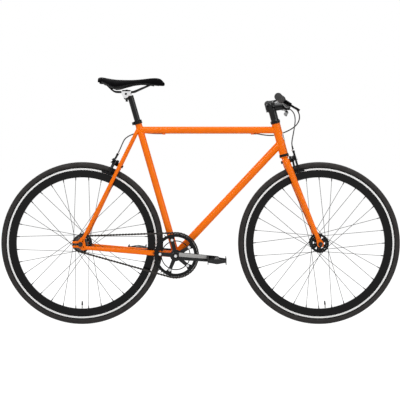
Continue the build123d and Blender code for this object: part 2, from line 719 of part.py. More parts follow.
def crank_hardware():
    """Chainring bolts and the two crank bolts with their washers."""
    pieces = []
    seat = RING_OUTER_Y - SPIDER_THICKNESS
    for angle in BOLT_ANGLES:
        centre = on_circle(BB, BOLT_CIRCLE_R, angle)
        bolt = across(centre, seat - 1.5, RING_INNER_Y + 1.5, CHAINRING_BOLT_R)
        bolt += across(centre, seat - 1.5, seat, CHAINRING_BOLT_HEAD_R)
        pieces.append(bolt + across(centre, RING_INNER_Y, RING_INNER_Y + 1.5,
                                    CHAINRING_BOLT_HEAD_R))
    face = CRANK_INNER_Y + CRANK_THICKNESS
    cap = across(BB, SPINDLE_HALF, face + 1, SPINDLE_R) + across(BB, face, face + 3, 11)
    cap -= hex_across(BB, face, face + 4, 8)
    return Compound(children=pieces + both_sides(cap))


def pedal_y():
    """Lateral station of a pedal body's inner face."""
    return CRANK_INNER_Y + CRANK_THICKNESS + PEDAL_GAP


def pedal_axles():
    """Pedal axles screwed into the crank eyes, with a collar at the crank."""
    outer = pedal_y() + PEDAL_WIDTH - 4
    face = CRANK_INNER_Y + CRANK_THICKNESS
    left = on_circle(BB, CRANK_LENGTH, CRANK_ANGLE + pi)
    right = on_circle(BB, CRANK_LENGTH, CRANK_ANGLE)
    pieces = []
    for centre in (left, right):
        axle = across(centre, CRANK_INNER_Y, outer, PEDAL_AXLE_R)
        pieces.append(axle + across(centre, face, face + PEDAL_GAP - 0.4, PEDAL_AXLE_R + 3))
    return Compound(children=[pieces[0], mirror(pieces[1], about=Plane.XZ)])


def pedal(spin):
    """Platform pedal: bearing barrel, side rails and toothed cage plates."""
    centre = on_circle(BB, CRANK_LENGTH, spin)
    low, high = pedal_y(), pedal_y() + PEDAL_WIDTH
    half = PEDAL_LENGTH / 2
    body = across(centre, low, high, 10.5)
    rail = make_hull([*(Pos(5 - half, 0) * Rectangle(6, 9)).edges(),
                      *(Pos(half - 5, 0) * Rectangle(6, 9)).edges(), *Circle(10.5).edges()])
    body += plate(rail, centre, low, low + 5)
    body += plate(rail, centre, high - 5, high)
    pitch = PEDAL_WIDTH / 6
    teeth = []
    for k in range(6):
        teeth += [(k * pitch, 9), (k * pitch + 3, 14), (k * pitch + 8, 14), (k * pitch + 11, 9)]
    lower = [(u, -v) for u, v in reversed(teeth)]
    cage = make_face(Polyline(teeth + [(PEDAL_WIDTH, 9), (PEDAL_WIDTH, -9)] + lower, close=True))
    for x in (-half, half - 3):
        face = Plane(origin=(centre.X + x, low, centre.Z), x_dir=(0, 1, 0), z_dir=(1, 0, 0))
        body += extrude(face * cage, 3)
    return body - across(centre, low - 1, high - 4, PEDAL_AXLE_R + RUNNING_FIT)


def rear_cog():
    """Track cog and the lockring that holds it on the hub."""
    entry = RING_LINKS + RUN_LINKS
    phase = LINE_ANGLE + TANGENT - (int(entry) + 1 - entry) * COG_STEP
    cog = plate(toothed_disc(COG_TEETH, phase) - Circle(COG_SEAT_R), REAR_AXLE,
                RING_OUTER_Y, RING_INNER_Y)
    lock = ring(REAR_AXLE, RING_OUTER_Y - 4.5, RING_OUTER_Y, COG_SEAT_R + 2.5, COG_SEAT_R)
    return Compound(children=[cog, lock])


# ---- fork and cockpit ----

BLADE_END = FRONT_AXLE + (head_point(0, 0, -CROWN_DROP) - FRONT_AXLE).normalized() * BLADE_STOP
TIP_Y = FRONT_OLD / 2 + FORK_END_THICKNESS / 2


def fork_steerer():
    """Steerer tube on a bent unicrown, drilled for the brake bolt."""
    corner = head_point(0, CROWN_HALF, -CROWN_DROP)
    run = (BLADE_END + Y_AXIS * TIP_Y - corner).normalized()
    shoulder = corner + run * BLADE_START
    path = FilletPolyline(shoulder, corner, Vector(corner.X, -corner.Y, corner.Z),
                          Vector(shoulder.X, -shoulder.Y, shoulder.Z), radius=CROWN_BEND)
    crown = swept(path, BLADE_R)
    top = BLADE_R - CROWN_DROP
    crown += rod(head_point(0, 0, 5 - CROWN_DROP), head_point(0, 0, top), BLADE_R - 0.9, STEERER_R)
    crown += rod(head_point(0, 0, top), head_point(0, 0, STEM_BASE + STEM_HEIGHT - 2), STEERER_R)
    crown += rod(head_point(0, 0, BLADE_R - CROWN_DROP),
                 head_point(0, 0, -CUP_HEIGHT - HEADSET_GAP), CUP_R - 1.5)
    bore = rod(head_point(0, 0, -CUP_HEIGHT), head_point(0, 0, STEM_BASE + STEM_HEIGHT),
               STEERER_R - 1.8)
    return crown - bore - bolt_hole(front_brake_mount(), -2 * BLADE_R - 1)


def fork_blades():
    """Straight tapered blades with slotted fork-ends."""
    corner = head_point(0, CROWN_HALF, -CROWN_DROP)
    end = BLADE_END + Y_AXIS * TIP_Y
    run = (end - corner).normalized()
    top = corner + run * BLADE_START
    blade = pipe(top, end, BLADE_R, 1.3, BLADE_TIP_R)
    hang = BLADE_END - FRONT_AXLE
    root = Pos(hang.X, hang.Z) * Circle(BLADE_TIP_R)
    lug = make_hull([*Circle(FORK_END_R).edges(), *root.edges()])
    slot = Circle(FRONT_AXLE_R) + Pos(0, -10) * Rectangle(2 * FRONT_AXLE_R, 20)
    tip = plate(lug - slot, FRONT_AXLE, FRONT_OLD / 2, FRONT_OLD / 2 + FORK_END_THICKNESS)
    return Compound(children=both_sides(blade + tip))


def headset_spacers():
    """Bearing cover, spacers and top cap stacked on the steerer."""
    base = HEAD_TUBE_LENGTH + CUP_HEIGHT + HEADSET_GAP
    cover = rod(head_point(0, 0, base), head_point(0, 0, COVER_TOP), CUP_R, SPACER_R)
    third = SPACER_STACK / 3
    stack = [cover]
    for k in range(3):
        low = COVER_TOP + k * third
        stack.append(rod(head_point(0, 0, low), head_point(0, 0, low + third), SPACER_R))
    through = rod(head_point(0, 0, base - 1), head_point(0, 0, STEM_BASE + 1), STEERER_R)
    top = STEM_BASE + STEM_HEIGHT
    cap = rod(head_point(0, 0, top), head_point(0, 0, top + 4), STEM_R - 1, STEM_R - 3)
    cap -= rod(head_point(0, 0, top), head_point(0, 0, top + 5), BOLT_R)
    return Compound(children=[piece - through for piece in stack] + [cap])


def stem_cut():
    """Everything ahead of the faceplate split through the bar's axis."""
    toward = (BAR_CENTRE - head_point(0, 0, STEM_CENTRE)).normalized()
    plane = Plane(origin=BAR_CENTRE, x_dir=Y_AXIS, z_dir=toward)
    return plane


def stem():
    """Steerer clamp, extension and the rear half of the bar clamp."""
    split = stem_cut()
    root = head_point(0, 0, STEM_CENTRE)
    body = rod(head_point(0, 0, STEM_BASE), head_point(0, 0, STEM_BASE + STEM_HEIGHT), STEM_R)
    body += rod(root, BAR_CENTRE, STEM_R - 3.5, STEM_R - 4.5)
    body += across(BAR_CENTRE, -FACEPLATE_HALF, FACEPLATE_HALF, BAR_CLAMP_R + 5)
    ear = HEAD * Pos(-STEM_R, 0, STEM_CENTRE) * Box(14, 22, STEM_HEIGHT - 6)
    body += ear
    body -= split * Pos(0, 0, 20 + 0.6) * Box(80, 80, 40)
    body -= across(BAR_CENTRE, -FACEPLATE_HALF, FACEPLATE_HALF, BAR_CLAMP_R)
    body -= HEAD * Pos(-STEM_R - 4, 0, STEM_CENTRE) * Box(26, 2, STEM_HEIGHT + 2)
    for level in (-1, 1):
        body -= pinch_bolt(level)
    return body - rod(head_point(0, 0, STEM_BASE - 1), head_point(0, 0, STEM_BASE + 60), STEERER_R)


def pinch_bolt(level):
    """Bolt across the stem's rear split."""
    seat = HEAD * Pos(-STEM_R - 2.5, 0, STEM_CENTRE + level * 10) * Rot(90, 0, 0)
    return seat * Cylinder(2.5, 26)


def stem_faceplate():
    """Front half of the bar clamp."""
    split = stem_cut()
    body = across(BAR_CENTRE, -FACEPLATE_HALF, FACEPLATE_HALF, BAR_CLAMP_R + 5)
    body -= split * Pos(0, 0, -20 + 0.6) * Box(80, 80, 40)
    body -= across(BAR_CENTRE, -FACEPLATE_HALF, FACEPLATE_HALF, BAR_CLAMP_R)
    for bolt in face_bolts():
        body -= bolt
    return body


def face_bolts():
    """Four screws through the faceplate, above and below the bar."""
    split = stem_cut()
    bolts = []
    for side in (-1, 1):
        for level in (-1, 1):
            seat = split * Pos(side * (FACEPLATE_HALF - 5), level * (BAR_CLAMP_R + 2.2), 0.6)
            bolts.append(seat * Cylinder(1.8, 12, align=BASE))
    return bolts


def stem_hardware():
    """Pinch bolts, faceplate screws and the steerer's top bolt."""
    top = STEM_BASE + STEM_HEIGHT + 4
    crown = rod(head_point(0, 0, top), head_point(0, 0, top + 2.5), 5)
    crown += rod(head_point(0, 0, top - 20), head_point(0, 0, top), BOLT_R)
    return Compound(children=[pinch_bolt(-1), pinch_bolt(1)] + face_bolts() + [crown])


BAR_END = BAR_CENTRE + Vector(-BAR_SWEEP, BAR_HALF_WIDTH, BAR_RISE)
SHOULDER = BAR_CENTRE + Vector(*BAR_SHOULDER)


def bar_path():
    """Handlebar centreline: flat centre, small rise, swept-back grips."""
    points = [BAR_END, SHOULDER, BAR_CENTRE + Vector(0, BAR_KNEE_Y, 0)]
    left = [Vector(p.X, -p.Y, p.Z) for p in reversed(points)]
    return FilletPolyline(points + left, radius=[70, 55, 55, 70])


def handlebar():
    bar = swept(bar_path(), BAR_R, BAR_WALL)
    sleeve = across(BAR_CENTRE, -BAR_CLAMP_HALF, BAR_CLAMP_HALF, BAR_CLAMP_R)
    sleeve -= across(BAR_CENTRE, -BAR_CLAMP_HALF, BAR_CLAMP_HALF, BAR_R)
    return bar + sleeve


def grip_line():
    """Outer straight of the bar: its end and the unit vector inwards."""
    return BAR_END, (SHOULDER - BAR_END).normalized()


def grips():
    """Rubber sleeves with closed, flanged ends."""
    end, inward = grip_line()
    sleeve = rod(end, end + inward * GRIP_LENGTH, GRIP_R)
    sleeve -= rod(end, end + inward * GRIP_LENGTH, BAR_R)
    cap = rod(end - inward * 4, end, GRIP_R - 1, GRIP_R + 1)
    return Compound(children=both_sides(sleeve + cap))


def lever_frame():
    """Left lever's local frame: x outboard along the bar, y towards the lever."""
    end, inward = grip_line()
    origin = end + inward * ((end.Y - LEVER_Y) / -inward.Y)
    reach = Vector(cos(radians(LEVER_PITCH)), 0, -sin(radians(LEVER_PITCH)))
    outboard = inward * -1
    return Plane(origin=origin, x_dir=outboard, z_dir=outboard.cross(reach))


def lever_brackets():
    """Clamp bands with the forked pivot housings and barrel adjusters."""
    frame = lever_frame()
    band = frame * Rot(0, 90, 0) * Cylinder(BAR_R + 4.5, 14)
    outline = Polyline([(-9, 8), (-26, 18), (-26, 36), (-8, 44), (14, 44), (16, 24), (10, 8)],
                       close=True)
    arm = extrude(frame * Pos(0, 0, -8.5) * make_face(outline), 17)
    mouth = frame * Pos(6, 38, 0) * Box(34, 26, 9.6)
    barrel = frame * Pos(-26, LEVER_BARREL_Y, 0) * Rot(0, -90, 0) * Cylinder(4.5, 9, align=BASE)
    body = band + (arm - mouth) + barrel
    body -= frame * Rot(0, 90, 0) * Cylinder(BAR_R, 40)
    pin = frame * Pos(*LEVER_PIVOT) * Cylinder(LEVER_PIN_R, 17)
    return Compound(children=both_sides(body - pin) + both_sides(pin))


def brake_lever():
    """Two-finger blade on the left: pivot eye, swept neck and curled tip."""
    frame = lever_frame()
    spine = FilletPolyline((LEVER_PIVOT[0], LEVER_PIVOT[1] + 0.5), (14, 64), (44, 76), (88, 78),
                           (112, 92), radius=[18, 22, 16])
    blade = trace(spine, line_width=10) + Pos(*LEVER_PIVOT) * Circle(6.5)
    blade -= Pos(*LEVER_PIVOT) * Circle(LEVER_PIN_R + RUNNING_FIT)
    return extrude(frame * Pos(0, 0, -4.5) * blade, 9)


# ---- calipers: local x away from the frame, y across, z away from the wheel ----

def front_brake_mount():
    """Caliper seat on the front of the fork crown."""
    origin = head_point(BLADE_R, 0, -CROWN_DROP - CROWN_BOLT_DROP)
    return Plane(origin=origin, x_dir=HEAD_FORWARD, z_dir=HEAD_UP)


def rear_brake_mount():
    """Caliper seat on the rear of the seat-stay bridge."""
    away = Vector(-SEAT_STAY_UP.Z, 0, SEAT_STAY_UP.X)
    return Plane(origin=bridge_centre() + away * BRIDGE_R, x_dir=away, z_dir=SEAT_STAY_UP)


def bolt_hole(mount, depth):
    """Bolt hole from the caliper seat back through the frame piece."""
    return rod(mount.from_local_coords(Vector(depth, 0, 0)),
               mount.from_local_coords(Vector(1, 0, 0)), BOLT_R)


def layer(mount, near, far, sketch):
    """Extrude a sketch drawn across the bolt between two distances from the seat."""
    origin = mount.from_local_coords(Vector(near, 0, 0))
    face = Plane(origin=origin, x_dir=mount.y_dir, z_dir=mount.x_dir)
    return extrude(face * sketch, far - near)


ARM_A = (BRACKET_DEPTH + ARM_CLEARANCE, BRACKET_DEPTH + ARM_CLEARANCE + ARM_THICKNESS)
ARM_B = (ARM_A[1] + ARM_CLEARANCE, ARM_A[1] + ARM_CLEARANCE + ARM_THICKNESS)
PAD_R = RIM_R - BRAKE_TRACK / 2


def pad_station(mount, axle):
    """Local height at which a pad centred at PAD_X meets the brake track."""
    start = mount.from_local_coords(Vector(PAD_X, 0, 0)) - axle
    along = start.dot(mount.z_dir)
    return -along + sqrt(along ** 2 - start.length ** 2 + PAD_R ** 2)


def brake_pad(mount, axle, side):
    """Pad curved with the rim, on the given side in local y."""
    station = mount.from_local_coords(Vector(PAD_X, 0, pad_station(mount, axle))) - axle
    middle = atan2(station.Z, station.X)
    arc = radians(PAD_HALF_ANGLE)
    far = PAD_R * 1.2
    wedge = make_face(Polyline([(0, 0), (far * cos(middle - arc), far * sin(middle - arc)),
                                (far * cos(middle + arc), far * sin(middle + arc))], close=True))
    band = (Circle(PAD_R + PAD_HALF_HEIGHT) - Circle(PAD_R - PAD_HALF_HEIGHT)) & wedge
    low = RIM_HALF_WIDTH + PAD_GAP
    world = side * mount.y_dir.Y
    edges = sorted((world * low, world * (low + PAD_THICKNESS)))
    return plate(band, axle, edges[0], edges[1])


def caliper_body(mount, depth):
    """Mounting washer, side-pivot bracket, centre bolt and frame nut."""
    bracket = make_hull([*Circle(9).edges(), *(Pos(*SIDE_PIVOT) * Circle(6)).edges()])
    body = layer(mount, 0, BRAKE_WASHER, Circle(8))
    body += layer(mount, BRAKE_WASHER, BRACKET_DEPTH, bracket)
    body += layer(mount, BRACKET_DEPTH, ARM_B[1] + 3, Circle(BOLT_R))
    head = ARM_B[1] + ARM_CLEARANCE
    body += layer(mount, ARM_B[0], ARM_B[1] + 3, RegularPolygon(5.5, 6))
    body += layer(mount, BRACKET_DEPTH, head, Pos(*SIDE_PIVOT) * Circle(BOLT_R))
    body += layer(mount, head, ARM_B[1] + 3, Pos(*SIDE_PIVOT) * Circle(5))
    body += layer(mount, depth, 0, Circle(BOLT_R))
    return body + layer(mount, depth - 6, depth, Circle(6))


def arm_a(mount, axle):
    """Arm on the centre bolt: cable anchor one side, pad the other."""
    low = pad_station(mount, axle)
    spine = FilletPolyline((-CABLE_SIDE, 5), (0, 1), (25, -8), (32, low * 0.55), (22, low),
                           radius=[14, 12, 14])
    shape = trace(spine, line_width=ARM_WIDTH) + Circle(8) + Pos(-CABLE_SIDE, 5) * Circle(6)
    shape += Pos(21.5, low) * Rectangle(9, 10)
    shape -= Circle(BOLT_R + RUNNING_FIT)
    return layer(mount, ARM_A[0], ARM_A[1], shape) + brake_pad(mount, axle, 1)


def arm_b(mount, axle):
    """Arm on the side pivot: carries the barrel adjuster and the other pad."""
    low = pad_station(mount, axle)
    spine = FilletPolyline((-CABLE_SIDE, 28), (-CABLE_SIDE - 3, 4), (-32, low * 0.55), (-22, low),
                           radius=[20, 14])
    shape = trace(spine, line_width=ARM_WIDTH)
    shape += trace(Line((-CABLE_SIDE, 17), SIDE_PIVOT), line_width=9)
    shape += Pos(*SIDE_PIVOT) * Circle(6.5) + Pos(-21.5, low) * Rectangle(9, 10)
    shape -= Pos(*SIDE_PIVOT) * Circle(BOLT_R + RUNNING_FIT)
    arm = layer(mount, ARM_B[0], ARM_B[1], shape) + brake_pad(mount, axle, -1)
    depth = (ARM_B[0] + ARM_B[1]) / 2
    foot = mount.from_local_coords(Vector(depth, -CABLE_SIDE, 24))
    return arm + rod(foot, barrel_mouth(mount), BARREL_R)


def barrel_mouth(mount):
    """Where the cable housing enters the caliper's barrel adjuster."""
    depth = (ARM_B[0] + ARM_B[1]) / 2
    return mount.from_local_coords(Vector(depth, -CABLE_SIDE, BARREL_TOP))


def lever_mouth(side):
    """Where the cable housing enters a lever's barrel adjuster."""
    point = lever_frame().from_local_coords(Vector(-35, LEVER_BARREL_Y, 0))
    return Vector(point.X, side * point.Y, point.Z)


# ---- cables ----

def cable(name, points, radius=HOUSING_R):
    """Cable housing along straight runs joined by tangent arcs."""
    radii = []
    for a, b, c in zip(points, points[1:], points[2:]):
        turn = radians((b - a).get_angle(c - b))
        shorter = min((b - a).length, (c - b).length)
        radii.append(0.45 * shorter / tan(turn / 2))
    path = FilletPolyline(points, radius=radii)
    tube = swept(path, radius)
    share = tube.volume / (pi * radius ** 2 * path.length)
    print(name, "radii", [round(value, 1) for value in radii], "volume share", round(share, 4))
    return tube


def inboard(side, distance):
    """Offset along a lever's barrel adjuster towards the middle."""
    step = lever_frame().x_dir * -distance
    return Vector(step.X, side * step.Y, step.Z)


def front_housing():
    """From the left lever down to the front caliper."""
    end = barrel_mouth(front_brake_mount())
    start = lever_mouth(1)
    return cable("front_housing", [
        start, start + inboard(1, 18), start + Vector(20, -40, -7),
        start + Vector(42, -60, -26), start + Vector(47, -84, -54),
        start + Vector(42, -107, -86), end + HEAD_UP * 64 + Vector(20, 13, 0),
        end + HEAD_UP * 32 + Vector(5, 3, 0), end + HEAD_UP * 15, end])


def rear_housing_front():
    """From the right lever past the head tube to the top tube's front stop."""
    start = lever_mouth(-1)
    end = CABLE_LINE + Vector(FRONT_STOP_X, 0, 0)
    return cable("rear_housing_front", [
        start, start + inboard(-1, 18), start + Vector(24, 40, -7),
        start + Vector(48, 60, -27), start + Vector(58, 86, -54),
        start + Vector(50, 112, -81), start + Vector(25, 136, -102),
        start + Vector(-10, 151, -118), end + Vector(83, 15.5, -8),
        end + Vector(43, 6, -6), end + Vector(16, 0, 0), end])


def rear_housing_back():
    """From the top tube's rear stop round the seat tube to the rear caliper."""
    start = CABLE_LINE + Vector(REAR_STOP_X, 0, 0)
    end = barrel_mouth(rear_brake_mount())
    return cable("rear_housing_back", [
        start, start + Vector(-18, 0, 0), start + Vector(-48, 12, 1),
        start + Vector(-84, 24, 5), start + Vector(-120, 27, 2),
        end + Vector(28, 10, 62), end + Vector(16, 4.5, 37), end + SEAT_STAY_UP * 18, end])


def rear_brake_wire():
    """Bare inner wire between the two stops under the top tube."""
    start = CABLE_LINE + Vector(FRONT_STOP_X, 0, 0)
    return rod(start, CABLE_LINE + Vector(REAR_STOP_X, 0, 0), WIRE_R)


# ---- seat ----

def seatpost():
    """Post with a setback head that carries the rail clamp."""
    top = seat_point(POST_TOP_Z)
    post = rod(top - SEAT_UP * POST_LENGTH, top, POST_R)
    head = Vector(clamp_x(), 0, POST_TOP_Z - CLAMP_BODY_R / 2)
    post += across(head, -15, 15, CLAMP_BODY_R)
    post -= rod(top - SEAT_UP * POST_LENGTH, top - SEAT_UP * 30, POST_R - POST_WALL)
    post -= clamp_bolt_axis()
    return post - Pos(head.X, 0, RAIL_Z - RAIL_R - 5.5 + 20) * Box(60, 60, 40)


def clamp_x():
    return seat_point(POST_TOP_Z).X - SETBACK + CLAMP_FORWARD


def clamp_bolt_axis():
    low = Vector(clamp_x(), 0, POST_TOP_Z - 24)
    return rod(low, Vector(clamp_x(), 0, RAIL_Z + 9), BOLT_R)


def seat_clamp():
    """Lower cradle, upper plate and bolt that grip the saddle rails."""
    base = RAIL_Z - RAIL_R - 5.5
    rails = rail_pair()
    lower = Pos(clamp_x(), 0, base + 4) * Box(38, 2 * RAIL_Y + 12, 8)
    upper = Pos(clamp_x(), 0, RAIL_Z + 4) * Box(34, 2 * RAIL_Y + 12, 6)
    pieces = []
    for block in (lower, upper):
        for rail in rails:
            block -= rail
        pieces.append(block - clamp_bolt_axis())
    head = rod(Vector(clamp_x(), 0, RAIL_Z + 7), Vector(clamp_x(), 0, RAIL_Z + 10), 5.5)
    return Compound(children=pieces + [clamp_bolt_axis() + head])


def rail_pair():
    """Two saddle rails: level under the clamp, rising to nose and tail."""
    base = clamp_x()
    tail = Vector(base - 88, RAIL_Y + 14, RAIL_END_Z + 0.5)
    back = Vector(base - 52, RAIL_Y, RAIL_Z)
    front = Vector(base + 30, RAIL_Y, RAIL_Z)
    nose = Vector(base + 110, 7, RAIL_END_Z)
    path = FilletPolyline(tail, back, front, nose, radius=30)
    return both_sides(swept(path, RAIL_R))


def saddle_rails():
    return Compound(children=rail_pair())


def saddle():
    """Narrow saddle: side outline crossed with its plan, hollow underneath."""
    nose = clamp_x() + SADDLE_NOSE_REACH
    side = make_face([
        Spline([(nose - 276, 48), (nose - 274, 58), (nose - 262, 62.5), (nose - 221, 53.5),
                (nose - 130, 50.4), (nose - 85, 54), (nose - 40, 58), (nose - 18, 54),
                (nose - 5, 42), (nose, 32)]),
        Polyline([(nose, 32), (nose - 4, 26), (nose - 24, 22.5), (nose - 42, 22), (nose - 62, 29),
                  (nose - 104, 31.5)]),
        Polyline([(nose - 104, 31.5), (nose - 155, 21), (nose - 200, 12), (nose - 222, 21),
                  (nose - 246, 32), (nose - 270, 37), (nose - 276, 48)]),
    ])
    plan = make_face([
        Spline([(nose, 0), (nose - 12, 17), (nose - 110, 24), (nose - 200, 62), (nose - 262, 72),
                (nose - 276, 40), (nose - 272, 0)]),
        Spline([(nose - 272, 0), (nose - 276, -40), (nose - 262, -72), (nose - 200, -62),
                (nose - 110, -24), (nose - 12, -17), (nose, 0)]),
    ])
    level = Plane(origin=(0, 90, RAIL_Z), x_dir=(1, 0, 0), z_dir=(0, -1, 0))
    body = extrude(level * side, 180) & Pos(0, 0, RAIL_Z - 1) * extrude(plan, 80)
    half = [(nose - 40, 13), (nose - 112, 21), (nose - 200, 48), (nose - 258, 54)]
    under = make_face(Polyline(half + [(x, -y) for x, y in reversed(half)], close=True))
    floor = RAIL_Z - 20
    return body - Pos(0, 0, floor) * extrude(under, RAIL_END_Z + RAIL_R - floor)


NODES = {
    "head_tube": head_tube, "top_tube": top_tube, "down_tube": down_tube,
    "seat_tube": seat_tube, "bottom_bracket_shell": bottom_bracket_shell,
    "bottom_bracket_cups": bottom_bracket_cups, "chain_stays": chain_stays,
    "seat_stays": seat_stays, "dropouts": dropouts, "headset_cups": headset_cups,
    "seat_collar": seat_collar, "cable_stops": cable_stops,
    "rear_axle": lambda: axle_set(REAR_AXLE, REAR_OLD, REAR_AXLE_R, DROPOUT_THICKNESS, 50.3),
    "chain": chain, "rear_housing_front": rear_housing_front,
    "rear_housing_back": rear_housing_back, "rear_brake_wire": rear_brake_wire,
    "rear_caliper_body": lambda: caliper_body(rear_brake_mount(), -2 * BRIDGE_R),
    "seatpost": seatpost, "seat_clamp": seat_clamp, "saddle_rails": saddle_rails,
    "saddle": saddle, "fork_steerer": fork_steerer, "fork_blades": fork_blades,
    "headset_spacers": headset_spacers, "stem": stem, "stem_faceplate": stem_faceplate,
    "stem_hardware": stem_hardware, "handlebar": handlebar, "grips": grips,
    "lever_brackets": lever_brackets,
    "front_axle": lambda: axle_set(FRONT_AXLE, FRONT_OLD, FRONT_AXLE_R, FORK_END_THICKNESS, 44.3),
    "front_housing": front_housing,
    "front_caliper_body": lambda: caliper_body(front_brake_mount(), -2 * BLADE_R),
    "brake_lever_left": brake_lever,
    "brake_lever_right": lambda: mirror(brake_lever(), about=Plane.XZ),
    "front_arm_a": lambda: arm_a(front_brake_mount(), FRONT_AXLE),
    "front_arm_b": lambda: arm_b(front_brake_mount(), FRONT_AXLE),
    "rear_arm_a": lambda: arm_a(rear_brake_mount(), REAR_AXLE),
    "rear_arm_b": lambda: arm_b(rear_brake_mount(), REAR_AXLE),
    "front_hub": lambda: hub(FRONT_AXLE, FRONT_FLANGE_Y, 44, FRONT_AXLE_R + RUNNING_FIT),
    "rear_hub": lambda: hub(REAR_AXLE, REAR_FLANGE_Y, 50, REAR_AXLE_R + RUNNING_FIT, 49),
    "front_rim": lambda: rim(FRONT_AXLE), "rear_rim": lambda: rim(REAR_AXLE),
    "front_tyre": lambda: tyre(FRONT_AXLE), "rear_tyre": lambda: tyre(REAR_AXLE),
    "front_spokes": lambda: spokes(FRONT_AXLE, FRONT_FLANGE_Y, FRONT_WHEEL_TURN),
    "rear_spokes": lambda: spokes(REAR_AXLE, REAR_FLANGE_Y, REAR_WHEEL_TURN),
    "front_valve": lambda: valve(FRONT_AXLE, FRONT_WHEEL_TURN),
    "rear_valve": lambda: valve(REAR_AXLE, REAR_WHEEL_TURN),
    "rear_cog": rear_cog, "spindle": spindle, "crank_right": crank_right,
    "crank_left": crank_left, "chainring": chainring, "crank_hardware": crank_hardware,
    "pedal_axles": pedal_axles,
    "pedal_right": lambda: mirror(pedal(CRANK_ANGLE), about=Plane.XZ),
    "pedal_left": lambda: pedal(CRANK_ANGLE + pi),
}

os.makedirs("parts", exist_ok=True)
for node, build in NODES.items():
    export_step(build(), "parts/" + node + ".step")
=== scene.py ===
"""Dressed model of a single-speed city bicycle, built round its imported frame."""
import logging
import math
from collections.abc import Iterable, Sequence
from dataclasses import dataclass, field
from enum import Enum

import bpy
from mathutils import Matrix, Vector


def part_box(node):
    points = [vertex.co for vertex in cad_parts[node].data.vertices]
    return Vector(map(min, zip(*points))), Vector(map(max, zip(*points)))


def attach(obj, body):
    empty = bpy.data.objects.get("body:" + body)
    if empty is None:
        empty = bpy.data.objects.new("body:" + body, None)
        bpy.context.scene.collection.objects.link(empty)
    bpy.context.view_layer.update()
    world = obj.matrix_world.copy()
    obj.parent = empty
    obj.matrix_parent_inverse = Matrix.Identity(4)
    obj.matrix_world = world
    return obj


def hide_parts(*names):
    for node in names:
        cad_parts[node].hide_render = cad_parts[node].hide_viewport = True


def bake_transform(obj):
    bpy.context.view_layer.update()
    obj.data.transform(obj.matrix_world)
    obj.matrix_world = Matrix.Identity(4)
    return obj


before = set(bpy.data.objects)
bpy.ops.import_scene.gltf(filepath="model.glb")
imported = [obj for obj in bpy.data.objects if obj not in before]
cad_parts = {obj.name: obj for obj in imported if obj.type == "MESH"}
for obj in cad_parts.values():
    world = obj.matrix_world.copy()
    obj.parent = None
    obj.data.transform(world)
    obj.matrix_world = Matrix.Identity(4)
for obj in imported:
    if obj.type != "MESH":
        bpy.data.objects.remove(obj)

LOG = logging.getLogger("bicycle")
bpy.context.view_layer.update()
Colour = tuple[float, float, float]
Face = tuple[int, ...]
Profile = Sequence[tuple[float, float]]
Route = Sequence[tuple[float, float, float]]
ACROSS = Vector((0, 1, 0))
UP = Vector((0, 0, 1))
SIDES = (-1, 1)
HOUSING_RADIUS = 0.0025
MERGE_GAP = 0.00001
FLAT_ANGLE = math.radians(1.0)
CRISP_ANGLE = math.radians(38)
HEAD_BASE = Vector((0.3480343, 0, 0.7111611))
HEAD_UP = Vector((-0.2537579, 0, 0.9672678))
HEAD_FORWARD = Vector((0.9672678, 0, 0.2537579))


class Body(Enum):
    """Rigid groups that pieces ride on."""

    FRAME = "frame"
    SEAT = "seatpost_unit"
    STEERING = "steering"
    FRONT_WHEEL = "front_wheel"
    REAR_WHEEL = "rear_wheel"
    CRANKSET = "crankset"
    FRONT_ARM = "front_arm_b"
    REAR_ARM = "rear_arm_b"


def centre_of(node: str) -> Vector:
    """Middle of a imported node's box, in metres."""
    low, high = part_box(node)
    return (Vector(low) + Vector(high)) / 2


def turns(count: int) -> list[float]:
    """Angles that share a full turn evenly, in radians."""
    return [2 * math.pi * i / count for i in range(count)]


def upright(angle: float, radius: float = 1.0, across: float = 0.0) -> Vector:
    """Point round an axis across the bicycle, at an angle from forward towards up."""
    return Vector((math.cos(angle) * radius, across, math.sin(angle) * radius))


def circle(centre: Vector, first: Vector, second: Vector, count: int) -> list[Vector]:
    """Points round an ellipse, from its centre and its two half axes."""
    return [centre + first * math.cos(a) + second * math.sin(a) for a in turns(count)]


# ---------------------------------------------------------------- finishes


def backdrop_rays(tree: bpy.types.NodeTree) -> bpy.types.NodeSocket:
    """Find the rays that should meet a white backdrop.

    Args:
        tree: the node tree that asks.

    Returns:
        A socket that is 1 for rays seen straight, in a gloss or through glass.
    """
    rays = tree.nodes.new("ShaderNodeLightPath")
    seen = rays.outputs["Is Camera Ray"]
    for kind in ("Is Glossy Ray", "Is Transmission Ray"):
        either = tree.nodes.new("ShaderNodeMath")
        either.operation = "MAXIMUM"
        tree.links.new(seen, either.inputs[0])
        tree.links.new(rays.outputs[kind], either.inputs[1])
        seen = either.outputs[0]
    return seen


